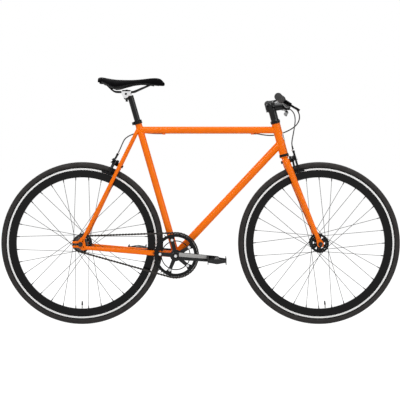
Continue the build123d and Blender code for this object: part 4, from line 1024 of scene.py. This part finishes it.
@dataclass
class Saddle:
    """Narrow padded saddle over a moulded shell, on two rails."""

    rail_level: float = 0.971
    around: int = 26
    stations: tuple[tuple[float, float, float, float], ...] = (
        (0.2750, 0.044, 0.0585, 0.0345), (0.269, 0.0585, 0.0612, 0.0345),
        (0.258, 0.0685, 0.0612, 0.0340), (0.240, 0.0705, 0.0575, 0.0285),
        (0.222, 0.069, 0.0540, 0.0175), (0.205, 0.064, 0.0520, 0.0118),
        (0.188, 0.058, 0.0510, 0.0132),
        (0.160, 0.044, 0.0502, 0.0205), (0.130, 0.031, 0.0504, 0.0275),
        (0.100, 0.0245, 0.0525, 0.0310), (0.070, 0.0215, 0.0565, 0.0300),
        (0.044, 0.0195, 0.0590, 0.0245), (0.024, 0.0170, 0.0580, 0.0225),
        (0.011, 0.0140, 0.0520, 0.0230), (0.003, 0.0100, 0.0410, 0.0240),
    )
    padding: float = 0.013
    roundness: float = 0.72
    squareness: float = 0.9
    lip: float = 0.004
    hem: float = 0.0008
    caps: tuple[tuple[int, float, float], ...] = ((0, -0.0015, 0.8), (-1, 0.0045, 0.55))
    cradle: Profile = (
        (-0.0208, 0.0025), (0.0198, 0.0025), (0.0188, -0.0065), (0.0140, -0.0125),
        (0.0070, -0.0225), (-0.0035, -0.0285), (-0.0125, -0.0235), (-0.0180, -0.0125))
    cradle_half: float = 0.0292
    cradle_drop: float = 0.012
    disc: tuple[float, float] = (0.0048, 0.0018)
    disc_drop: float = 0.0095
    stud_drop: float = 0.0405
    stud_length: float = 0.012
    stud_radius: float = 0.0048
    stud_chamfer: float = 0.0006
    shell_inset: float = 0.0075
    shell_least: float = 0.004
    shell_tuck: float = 0.001
    shell_drop: float = 0.0155
    shell_wall: float = 0.0018
    shell_narrow: float = 0.93
    seam_rise: float = 0.0042
    seam_radius: float = 0.0009

    def __post_init__(self) -> None:
        """Find the nose."""
        _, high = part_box("saddle")
        self.nose = high[0]

    def ring(self, back: float, half: float, top: float, edge: float) -> list[Vector]:
        """One cross-section: crowned top, rolled edge and hollow underside.

        Args:
            back: distance behind the nose.
            half: half the width.
            top: height of the crown over the rails.
            edge: height of the lowest edge over the rails.

        Returns:
            The section's points, from one edge over the top and back underneath.
        """
        points = []
        x = self.nose - back
        over = self.around * 2 // 3
        for i in range(over + 1):
            angle = math.pi * i / over
            y = -math.cos(angle)
            flank = abs(math.sin(angle)) ** self.roundness
            points.append(Vector((x, math.copysign(abs(y) ** self.squareness, y) * half,
                                  self.rail_level + edge + (top - edge) * flank)))
        under = self.around - over
        for i in range(1, under):
            angle = math.pi * i / under
            y = math.cos(angle) * (half - self.lip)
            lift = math.sin(angle) ** 0.5 * (top - edge - self.padding)
            points.append(Vector((x, y, self.rail_level + edge + self.hem + lift)))
        return points

    def dress(self) -> None:
        """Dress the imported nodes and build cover, shell, seam and clamp."""
        paint(BLACK_STEEL, "saddle_rails")
        paint(BLACK_ALLOY, "seat_clamp")
        paint(POLISHED_BLACK, "seatpost")
        self.build_cover()
        self.build_shell()
        self.build_seam()
        self.build_clamp()

    def build_clamp(self) -> None:
        """Forged silver cradle on the post's head, its pivot discs and its bolts."""
        low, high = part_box("seat_clamp")
        middle = Vector(((low[0] + high[0]) / 2, 0, self.rail_level))
        forged, dark = Shape(), Shape()
        for side in SIDES:
            forged.loft([[middle + Vector((u * inset, side * y, v * inset
                                           - self.cradle_drop * (1 - inset)))
                          for u, v in self.cradle]
                         for y, inset in ((0.0, 0.95), (self.cradle_half - 0.001, 1.0),
                                          (self.cradle_half, 0.92))])
            seat = middle + Vector((-0.0015, side * self.cradle_half, -self.disc_drop))
            dark.socket_bolt(seat, ACROSS * side, *self.disc)
        tail = middle - UP * self.stud_drop
        dark.rod(tail, tail + UP * self.stud_length, self.stud_radius, 16,
                 self.stud_chamfer)
        place(forged.build("clamp_cradle", 25.0), Body.SEAT, SILVER)
        place(dark.build("clamp_bolts", 30.0), Body.SEAT, BLACK_STEEL)

    def build_cover(self) -> None:
        """Padded cover with a rounded nose and tail."""
        rings = [self.ring(*station) for station in self.stations]
        for index, shift, share in self.caps:
            middle = sum(rings[index], Vector()) / len(rings[index])
            cap = [middle + (p - middle) * share + Vector((shift, 0, 0))
                   for p in rings[index]]
            rings.insert(0 if index == 0 else len(rings), cap)
        shape = Shape()
        shape.loft(rings)
        cover = shape.build("saddle_cover", 180.0)
        smooth = cover.modifiers.new("smooth", "SUBSURF")
        smooth.levels = smooth.render_levels = 2
        place(cover, Body.SEAT, SADDLE_VINYL, ["saddle"])

    def build_shell(self) -> None:
        """Moulded base that shows under the cover and holds the rails."""
        shape = Shape()
        rings = []
        for back, half, top, edge in self.stations[2:-3]:
            rise = self.rail_level + edge + self.shell_tuck
            roof = self.rail_level + top - self.shell_drop
            width = max(half - self.shell_inset, self.shell_least)
            x = self.nose - back
            outer = [Vector((x, width * math.cos(a), rise + (roof - rise) * math.sin(a)))
                     for a in (math.pi * i / 12 for i in range(13))]
            inner = [Vector((x, p.y * self.shell_narrow, p.z - self.shell_wall))
                     for p in reversed(outer)]
            rings.append(outer + inner)
        shape.loft(rings)
        place(shape.build("saddle_shell", 40.0), Body.SEAT, SADDLE_SHELL)

    def build_seam(self) -> None:
        """Stitched piping along the lower edge of each side."""
        shape = Shape()
        for side in SIDES:
            line = [Vector((self.nose - back, side * (half - self.hem),
                            self.rail_level + edge + self.seam_rise))
                    for back, half, _, edge in self.stations[2:-2]]
            shape.tube(spline_path(line, steps=6), self.seam_radius, sides=6)
        place(shape.build("saddle_piping", 35.0), Body.SEAT, THREAD)


# ---------------------------------------------------------------- cockpit


@dataclass
class Cockpit:
    """Bar, stem, grips, levers and the two front housings."""

    stem_centre: float = 0.2003
    cap_height: float = 0.2208
    bar_centre: tuple[float, float, float] = (0.3580767, 0, 0.9120861)
    bar_end: tuple[float, float, float] = (0.3010767, 0.3, 0.9350861)
    inward: tuple[float, float, float] = (0.1766078, -0.9839579, -0.0252297)
    bar_rake: float = 4.8865
    face_depth: float = 0.0092
    face_grid: tuple[float, float] = (0.016, 0.0149)
    face_head: tuple[float, float] = (0.0032, 0.0042)
    pinch_depth: float = 0.021
    pinch_grid: tuple[float, float] = (0.011, 0.01)
    pinch_head: tuple[float, float] = (0.004, 0.0032)
    cap_head: tuple[float, float] = (0.0056, 0.0036)
    grip_length: float = 0.122
    grip_radius: float = 0.0145
    rib: float = 0.004
    rib_drops: Profile = ((0.0, 0.0014), (0.2, 0.0005), (0.45, 0.0002), (0.7, 0.0005),
                          (0.9, 0.0014))
    rib_end: float = 0.01
    lip: float = 0.0008
    bar_radius: float = 0.0111
    ferrule_radius: float = 0.0033
    ferrule_length: float = 0.0085
    plate_rise: float = 0.071
    plate_half: float = 0.021
    plate_sweep: float = 0.85
    plate_radius: float = 0.0181
    plate_rim: Profile = ((0.84, 0.0004), (1.0, 0.0), (1.0, 0.0016), (0.94, 0.0023),
                          (0.84, 0.0019))
    plate_face: Profile = ((0.85, 0.0004), (0.85, 0.0012), (0.5, 0.0013), (0.05, 0.0013))
    front_route: Route = (
        (0.35409, 0.12776, 0.91632), (0.35727, 0.11005, 0.91587),
        (0.37409, 0.08776, 0.90932), (0.39609, 0.06776, 0.89032),
        (0.40109, 0.04376, 0.86232), (0.39609, 0.02076, 0.83032),
        (0.3871, -0.013, 0.79649), (0.38023, -0.023, 0.76554),
        (0.37954, -0.026, 0.7491), (0.38335, -0.026, 0.73459))
    rear_route: Route = (
        (0.35409, -0.12776, 0.91632), (0.35727, -0.11005, 0.91587),
        (0.37809, -0.08776, 0.90932), (0.40209, -0.06776, 0.88932),
        (0.41209, -0.04176, 0.86232), (0.40409, -0.01576, 0.83532),
        (0.37909, 0.00824, 0.81432), (0.34409, 0.02324, 0.79832),
        (0.306, 0.026, 0.789), (0.266, 0.0165, 0.791),
        (0.239, 0.0105, 0.797), (0.223, 0.0105, 0.797))

    def dress(self) -> None:
        """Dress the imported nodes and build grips, housings and ferrules."""
        paint(POLISHED_BLACK, "headset_spacers", "stem", "stem_faceplate")
        paint(BLACK_ALLOY, "handlebar", "lever_brackets", "brake_lever_left",
              "brake_lever_right")
        paint(PAINT, "fork_steerer", "fork_blades")
        paint(OXIDE, "front_axle", "stem_hardware")
        soften(0.001, "stem", "stem_faceplate", "lever_brackets", "brake_lever_left",
               "brake_lever_right")
        self.build_grips()
        self.build_housings()
        self.build_stem_bolts()
        self.build_head_plate()

    def build_stem_bolts(self) -> None:
        """Socket heads over the faceplate screws, pinch bolts and top cap."""
        shape = Shape()
        ahead = upright(math.radians(self.bar_rake))
        above = upright(math.radians(90 + self.bar_rake))
        face = Vector(self.bar_centre) + ahead * self.face_depth
        pinch = HEAD_BASE + HEAD_UP * self.stem_centre - HEAD_FORWARD * self.pinch_depth
        for side in SIDES:
            for centre, rise, grid, axis, head in (
                (face, above, self.face_grid, ahead, self.face_head),
                (pinch, HEAD_UP, self.pinch_grid, ACROSS * side, self.pinch_head),
            ):
                for level in SIDES:
                    seat = centre + ACROSS * side * grid[0] + rise * level * grid[1]
                    shape.socket_bolt(seat, axis, *head)
        shape.socket_bolt(HEAD_BASE + HEAD_UP * self.cap_height, HEAD_UP, *self.cap_head)
        place(shape.build("stem_bolts", 30.0), Body.STEERING, OXIDE)

    def plate_ring(self, share: float, lift: float) -> list[Vector]:
        """One oval line on the front of the head tube.

        Args:
            share: size of the oval, 1 at the plate's edge.
            lift: height over the tube.

        Returns:
            Points round the oval.
        """
        points = []
        for angle in turns(32):
            sweep = math.cos(angle) * self.plate_sweep * share
            along = self.plate_rise + math.sin(angle) * self.plate_half * share
            out = HEAD_FORWARD * math.cos(sweep) + ACROSS * math.sin(sweep)
            points.append(HEAD_BASE + HEAD_UP * along + out * (self.plate_radius + lift))
        return points

    def build_head_plate(self) -> None:
        """Plain oval plate with a bright rim, curved to the front of the head tube."""
        rim, face = Shape(), Shape()
        rim.loft([self.plate_ring(*step) for step in self.plate_rim], wrap=True)
        face.loft([self.plate_ring(*step) for step in self.plate_face])
        place(rim.build("head_plate_rim", 30.0), Body.FRAME, SILVER)
        place(face.build("head_plate_face", 30.0), Body.FRAME, BLACK_ALLOY)

    def build_grips(self) -> None:
        """Ribbed rubber sleeves with a flange inside and a closed end."""
        length, radius = self.grip_length, self.grip_radius
        profile = [(-0.004, 0.0), (-0.004, radius - 0.0025), (-0.0025, radius),
                   (0.003, radius + self.lip), (0.006, radius - 0.0006)]
        along = 2 * self.rib
        while along < length - self.rib_end:
            profile += [(along + self.rib * share, radius - drop)
                        for share, drop in self.rib_drops]
            along += self.rib
        profile += [(length - 0.008, radius), (length - 0.003, radius + self.lip),
                    (length, radius - 0.001), (length, self.bar_radius + 0.0001)]
        shape = Shape()
        for side in SIDES:
            mirror = Vector((1, side, 1))
            shape.lathe(Vector(self.bar_end) * mirror, Vector(self.inward) * mirror,
                        profile, 40)
        place(shape.build("ribbed_grips", 40.0), Body.STEERING, GRIP,
              ["grips"])

    def ferrule(self, name: str, at: Vector, along: Vector, body: Body) -> None:
        """Pressed cap on a housing's end.

        Args:
            name: the piece's name.
            at: the housing's end.
            along: direction into the housing.
            body: what it rides on.
        """
        shape = Shape()
        radius = self.ferrule_radius
        shape.lathe(at + along.normalized() * 0.0003, along,
                    [(0.0, radius * 0.8), (0.0006, radius), (self.ferrule_length, radius),
                     (self.ferrule_length + 0.001, HOUSING_RADIUS + 0.0003),
                     (self.ferrule_length + 0.003, HOUSING_RADIUS + 0.0001)], 20)
        place(shape.build(name, 35.0), body, BLACK_STEEL)

    def build_housings(self) -> None:
        """Left lever to front caliper, and right lever to the frame's front stop."""
        _, path = housing("front_brake_housing", self.front_route, Body.STEERING,
                          "front_housing")
        self.ferrule("front_ferrule_low", path[-1], path[-3] - path[-1], Body.STEERING)
        piece, path = housing("rear_brake_housing_front", self.rear_route, None,
                              "rear_housing_front")
        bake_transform(piece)
        self.ferrule("rear_ferrule_front", path[-1], path[-3] - path[-1], Body.FRAME)


@dataclass
class RearCable:
    """Housing from the top tube to the rear caliper, and the bare wire before it."""

    route: Route = (
        (-0.16, 0.0105, 0.797), (-0.178, 0.0105, 0.797), (-0.208, 0.0225, 0.798),
        (-0.244, 0.0345, 0.802), (-0.28, 0.0375, 0.799), (-0.3182, 0.036, 0.78),
        (-0.3302, 0.0305, 0.755), (-0.33826, 0.026, 0.73416),
        (-0.3462, 0.026, 0.718))

    def dress(self) -> None:
        """Build the housing and dress the wire."""
        paint(STAINLESS, "rear_brake_wire")
        housing("rear_brake_housing_back", self.route, Body.FRAME, "rear_housing_back")


# ---------------------------------------------------------------- drive and brakes


@dataclass
class Drivetrain:
    """Crankset, chain, cog and pedals."""

    crank_face: float = 0.07
    crank_drop: float = 4.6
    crank_crown: float = 0.0042
    crown_power: float = 0.8
    crown_steps: int = 8
    # Where the dark face meets the painted highlight across the arm.
    highlight_edge: float = -0.08
    arm_half: float = 0.0152
    arm_taper: float = 0.021
    arm_foot: float = 0.0004
    crown_stations: Profile = ((0.0137, 1.0), (0.04, 1.0), (0.08, 1.0), (0.11, 0.9),
                               (0.12, 0.55), (0.1275, 0.08))
    bolt_circle: float = 0.065
    arms: int = 5
    ring_bolt_face: float = 0.0513
    ring_bolt: tuple[float, float] = (0.0042, 0.0008)
    dust_ring: Profile = ((0.0, 0.0128), (0.0036, 0.0128), (0.0044, 0.0118),
                          (0.0044, 0.0066), (0.0, 0.0062))
    crank_bolt: Profile = ((0.0, 0.0062), (0.0032, 0.0062), (0.004, 0.0054))

    def __post_init__(self) -> None:
        """Find the crank's axis."""
        self.middle = centre_of("bottom_bracket_shell")

    def dress(self) -> None:
        """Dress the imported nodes, and build the cranks' faces, bolts and the chain."""
        paint(PLATED, "spindle", "pedal_axles")
        paint(CRANK_BLACK, "crank_right", "crank_left")
        paint(BLACK_ALLOY, "chainring")
        paint(SILVER, "crank_hardware")
        paint(COG_STEEL, "rear_cog")
        paint(PLASTIC, "pedal_right", "pedal_left")
        soften(0.0032, "crank_right", "crank_left")
        soften(0.0007, "pedal_right", "pedal_left")
        self.build_crowns()
        self.build_bolts()
        Chain().build()

    def crown(self, side: int, low: float, high: float) -> list[list[Vector]]:
        """Sections of one facet on the outside of a crank arm.

        Args:
            side: -1 for the drive side, 1 for the other.
            low: where the facet starts across the arm, -1 at one edge.
            high: where it ends, 1 at the other edge.

        Returns:
            One ring of points for each section along the arm.
        """
        tilt = math.radians(-self.crank_drop) + (math.pi if side > 0 else 0)
        along, over = upright(tilt), upright(tilt + math.pi / 2)
        rings = []
        for reach, share in self.crown_stations:
            half = self.arm_half - self.arm_taper * reach
            spine = self.middle + along * reach + ACROSS * side * self.crank_face
            ring = []
            for i in range(self.crown_steps + 1):
                u = low + (high - low) * i / self.crown_steps
                rise = self.crank_crown * share * max(1 - u * u, 0) ** self.crown_power
                ring.append(spine + over * u * half + ACROSS * side * rise)
            foot = spine - ACROSS * side * self.arm_foot
            rings.append(ring + [foot + over * high * half, foot + over * low * half])
        return rings

    def build_crowns(self) -> None:
        """Forged faces of both crank arms, each with one pale facet that is a painted highlight,
        along the top edge on the drive side.
        """
        dark, light = Shape(), Shape()
        for side in SIDES:
            dark.loft(self.crown(side, -1.0, self.highlight_edge))
            # Pale facet: a painted highlight along one edge of the arm.
            light.loft(self.crown(side, self.highlight_edge, 1.0))
        place(dark.build("crank_crowns", 50.0), Body.CRANKSET, CRANK_BLACK)
        place(light.build("crank_highlight_facets", 50.0), Body.CRANKSET,
              CRANK_PAINTED_HIGHLIGHT)

    def build_bolts(self) -> None:
        """Crank bolts in dark dust rings, and sockets in the chainring bolts."""
        dust, bolts = Shape(), Shape()
        for side in SIDES:
            seat = self.middle + ACROSS * side * self.crank_face
            dust.lathe(seat, ACROSS * side, self.dust_ring, 28)
            bolts.lathe(seat, ACROSS * side, self.crank_bolt, 6)
        first = math.radians(180 / self.arms - self.crank_drop)
        for angle in turns(self.arms):
            seat = upright(first + angle, self.bolt_circle, -self.ring_bolt_face)
            bolts.socket_bolt(self.middle + seat, -ACROSS, *self.ring_bolt)
        place(dust.build("crank_dust_rings", 30.0), Body.CRANKSET,
              BLACK_ALLOY)
        place(bolts.build("crank_bolts", 30.0), Body.CRANKSET, SILVER)


@dataclass
class Chain:
    """Roller chain with waisted plates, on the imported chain's pins."""

    ring_teeth: int = 46
    cog_teeth: int = 16
    links: int = 94
    pitch: float = 0.0127
    line: float = 0.043
    gap: float = 0.00165
    plate: float = 0.001
    play: float = 0.0001
    lobe: float = 0.0041
    lobe_turn: float = 125.0
    waist: float = 0.0025
    roller: float = 0.00386
    rivet: float = 0.0017
    rivet_head: float = 0.0005
    rivet_chamfer: float = 0.0002

    def __post_init__(self) -> None:
        """Find both sprockets and where the runs leave them."""
        self.ring = centre_of("bottom_bracket_shell")
        self.cog = centre_of("rear_hub")
        self.ring.y = self.cog.y = -self.line
        gap = self.cog - self.ring
        self.ring_step = 2 * math.pi / self.ring_teeth
        self.cog_step = 2 * math.pi / self.cog_teeth
        self.ring_radius = self.pitch / (2 * math.sin(self.ring_step / 2))
        self.cog_radius = self.pitch / (2 * math.sin(self.cog_step / 2))
        self.slope = math.atan2(gap.z, gap.x)
        self.tangent = math.acos((self.ring_radius - self.cog_radius) / gap.length)

    def pin(self, station: float) -> Vector:
        """Centre of a pin.

        Args:
            station: links from the ring's upper tangent, clockwise.

        Returns:
            The pin's middle.
        """
        on_ring = (2 * math.pi - 2 * self.tangent) / self.ring_step
        on_cog = 2 * self.tangent / self.cog_step
        run = (self.links - on_ring - on_cog) / 2
        top, bottom = self.slope - self.tangent, self.slope + self.tangent
        station %= self.links
        if station <= on_ring:
            return self.ring + upright(top - station * self.ring_step, self.ring_radius)
        station -= on_ring
        if run < station <= run + on_cog:
            turn = (station - run) * self.cog_step
            return self.cog + upright(bottom - turn, self.cog_radius)
        angle, share = bottom, station / run
        if share > 1:
            angle, share = top, (2 * run + on_cog - station) / run
        return (self.ring + upright(angle, self.ring_radius)).lerp(
            self.cog + upright(angle, self.cog_radius), share)

    def outline(self) -> list[tuple[float, float]]:
        """Waisted outline of one plate.

        Returns:
            Places along and across the link, in order.
        """
        points = []
        for end in (1, -1):
            for i in range(-4, 5):
                angle = math.radians(self.lobe_turn * i / 4)
                points.append((end * (self.pitch / 2 + math.cos(angle) * self.lobe),
                               end * math.sin(angle) * self.lobe))
            points.append((0.0, end * self.waist))
        return points

    def build(self) -> None:
        """Inner and outer links in turn, a roller at every pin, riveted outer links."""
        shape = Shape()
        outline = self.outline()
        reach = self.gap + 2 * self.plate + self.rivet_head
        for k in range(self.links):
            pin, following = self.pin(k), self.pin(k + 1)
            middle = (pin + following) / 2
            along = (following - pin).normalized()
            over = along.cross(ACROSS)
            inner = self.gap + (k % 2) * (self.plate + self.play)
            for side in SIDES:
                shape.loft([[middle + along * u + over * v + ACROSS * side * depth
                             for u, v in outline] for depth in (inner, inner + self.plate)])
            shape.rod(pin - ACROSS * self.gap, pin + ACROSS * self.gap, self.roller, 10)
            shape.rod(pin - ACROSS * reach, pin + ACROSS * reach, self.rivet, 8,
                      self.rivet_chamfer)
        place(shape.build("chain_links", 30.0), Body.FRAME, CHAIN_STEEL,
              ["chain"])


@dataclass
class Caliper:
    """One dual-pivot caliper: its seat on the frame and the directions it is built on."""

    end: str
    holder: Body
    arm: Body
    seat: Vector
    away: Vector
    up: Vector
    ring_height: float
    bolt_face: float = 0.0331
    barrel_depth: float = 0.0261
    cable_side: float = 0.026
    side_pivot: tuple[float, float] = (0.015, 0.012)
    centre_head: tuple[float, float] = (0.0052, 0.004)
    pivot_head: tuple[float, float] = (0.0046, 0.0025)
    lock_ring: Profile = ((-0.0018, 0.0048), (-0.0018, 0.0066), (-0.001, 0.0074),
                          (0.001, 0.0074), (0.0018, 0.0066), (0.0018, 0.0048))
    knurl: Profile = ((-0.0105, 0.0046), (-0.01, 0.0053), (-0.003, 0.0053),
                      (-0.0025, 0.0046))

    def at(self, depth: float, across: float, height: float) -> Vector:
        """Point at a depth off the frame, to the side and away from the wheel."""
        return (self.seat + self.away * depth + self.up.cross(self.away) * across
                + self.up * height)

    def dress(self) -> None:
        """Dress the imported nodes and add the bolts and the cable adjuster."""
        nodes = [f"{self.end}_{part}" for part in ("caliper_body", "arm_a", "arm_b")]
        paint(BLACK_ALLOY, *nodes)
        soften(0.0009, *nodes)
        bolts = Shape()
        for spot, head in (((0, 0), self.centre_head), (self.side_pivot, self.pivot_head)):
            bolts.socket_bolt(self.at(self.bolt_face, *spot), self.away, *head)
        place(bolts.build(f"{self.end}_caliper_bolts", 30.0), self.holder,
              SILVER)
        foot = self.at(self.barrel_depth, -self.cable_side, self.ring_height)
        lock, knurl = Shape(), Shape()
        lock.lathe(foot, self.up, self.lock_ring, 28)
        knurl.lathe(foot, self.up, self.knurl, 14)
        place(lock.build(f"{self.end}_barrel_ring", 30.0), self.arm, SILVER)
        place(knurl.build(f"{self.end}_barrel_knurl", 20.0), self.arm,
              BLACK_ALLOY)


# ---------------------------------------------------------------- studio


@dataclass(frozen=True)
class Lamp:
    """Square soft box."""

    name: str
    spot: tuple[float, float, float]
    aim: tuple[float, float, float]
    size: float
    power: float

    def hang(self) -> None:
        """Add the lamp to the scene, turned to what it lights."""
        data = bpy.data.lights.new(self.name, "AREA")
        data.shape = "SQUARE"
        data.size = self.size
        data.energy = self.power
        lamp = bpy.data.objects.new(self.name, data)
        lamp.location = self.spot
        aimed = (Vector(self.aim) - Vector(self.spot)).to_track_quat("-Z", "Y")
        lamp.rotation_euler = aimed.to_euler()
        bpy.context.scene.collection.objects.link(lamp)


@dataclass
class Studio:
    """Camera, soft lights and the pale floor."""

    distance: float = 4.1
    eye_height: float = 0.72
    span: float = 1.675
    sensor: float = 36.0
    shift: float = -0.12
    shift_x: float = -0.0015
    floor_size: float = 60.0
    floor_glow: float = 1.21
    floor_share: float = 0.8
    room_light: float = 0.2
    lamps: tuple[Lamp, ...] = (
        Lamp("key", (-1.2, -2.6, 3.2), (0, 0, 0.5), 2.2, 84.0),
        Lamp("top", (0.6, 0.3, 3.6), (0, 0, 0.4), 2.6, 58.0),
        Lamp("fill", (2.8, -2.2, 1.4), (0, 0, 0.6), 1.8, 30.0),
        Lamp("back", (-1.6, 2.8, 2.2), (0, 0, 0.6), 2.0, 34.0),
    )

    def set_up(self) -> None:
        """Place everything that isn't part of the bicycle."""
        self.place_camera()
        self.place_floor()
        self.place_lights()
        bpy.context.scene.view_settings.view_transform = "Standard"

    def place_camera(self) -> None:
        """Level camera square to the drive side."""
        data = bpy.data.cameras.new("camera")
        data.sensor_width = self.sensor
        data.lens = self.sensor * self.distance / self.span
        data.shift_y = self.shift
        data.shift_x = self.shift_x
        camera = bpy.data.objects.new("camera", data)
        camera.location = (0.0, -self.distance, self.eye_height)
        camera.rotation_euler = (math.radians(90), 0, 0)
        bpy.context.scene.collection.objects.link(camera)
        bpy.context.scene.camera = camera

    def place_floor(self) -> None:
        """Pale floor that looks white and keeps a soft shadow."""
        shape = Shape()
        half = self.floor_size / 2
        shape.points = [Vector((x, y, 0)) for x, y in
                        ((-half, -half), (half, -half), (half, half), (-half, half))]
        shape.faces = [(0, 1, 2, 3)]
        floor = shape.build("floor", 35.0)
        shader = Shader("studio_floor")
        shader.set(Base_Color=(0.86, 0.86, 0.86), Roughness=0.9, Specular_IOR_Level=0.1)
        glow = shader.node("ShaderNodeEmission")
        glow.inputs["Strength"].default_value = self.floor_glow
        mix = shader.node("ShaderNodeMixShader")
        shader.plug(shader.maths("MULTIPLY", backdrop_rays(shader.tree), self.floor_share),
                    mix.inputs[0])
        shader.plug(shader.surface.outputs[0], mix.inputs[1])
        shader.plug(glow.outputs[0], mix.inputs[2])
        output = shader.tree.nodes["Material Output"]
        shader.plug(mix.outputs[0], output.inputs["Surface"])
        floor.data.materials.append(shader.material)

    def place_lights(self) -> None:
        """White room with four soft boxes."""
        world = bpy.data.worlds.new("studio")
        world.use_nodes = True
        tree = world.node_tree
        base = tree.nodes["Background"]
        white = tree.nodes.new("ShaderNodeBackground")
        for background, strength in ((base, self.room_light), (white, 1.0)):
            background.inputs["Color"].default_value = (1, 1, 1, 1)
            background.inputs["Strength"].default_value = strength
        mix = tree.nodes.new("ShaderNodeMixShader")
        tree.links.new(backdrop_rays(tree), mix.inputs[0])
        tree.links.new(base.outputs[0], mix.inputs[1])
        tree.links.new(white.outputs[0], mix.inputs[2])
        tree.links.new(mix.outputs[0], tree.nodes["World Output"].inputs["Surface"])
        bpy.context.scene.world = world
        for lamp in self.lamps:
            lamp.hang()


def main() -> None:
    """Set up the studio, then dress each sub-assembly in turn."""
    logging.basicConfig(level=logging.INFO, format="%(name)s: %(message)s")
    Studio().set_up()
    for assembly in (
        Cockpit(), RearCable(), FrameSet(),
        Wheel("front", Body.FRONT_WHEEL, flange=0.031, turn=5.6),
        Wheel("rear", Body.REAR_WHEEL, flange=0.030),
        Saddle(), Drivetrain(),
        Caliper("front", Body.STEERING, Body.FRONT_ARM,
                seat=Vector((0.3697724, 0, 0.6834709)), away=HEAD_FORWARD, up=HEAD_UP,
                ring_height=0.0395),
        Caliper("rear", Body.FRAME, Body.REAR_ARM,
                seat=Vector((-0.3430535, 0, 0.665204)),
                away=Vector((-0.8975489, 0, 0.440915)),
                up=Vector((0.440915, 0, 0.8975489)), ring_height=0.0435),
    ):
        LOG.info("dressing %s", type(assembly).__name__)
        assembly.dress()


if __name__ == "__main__":
    main()
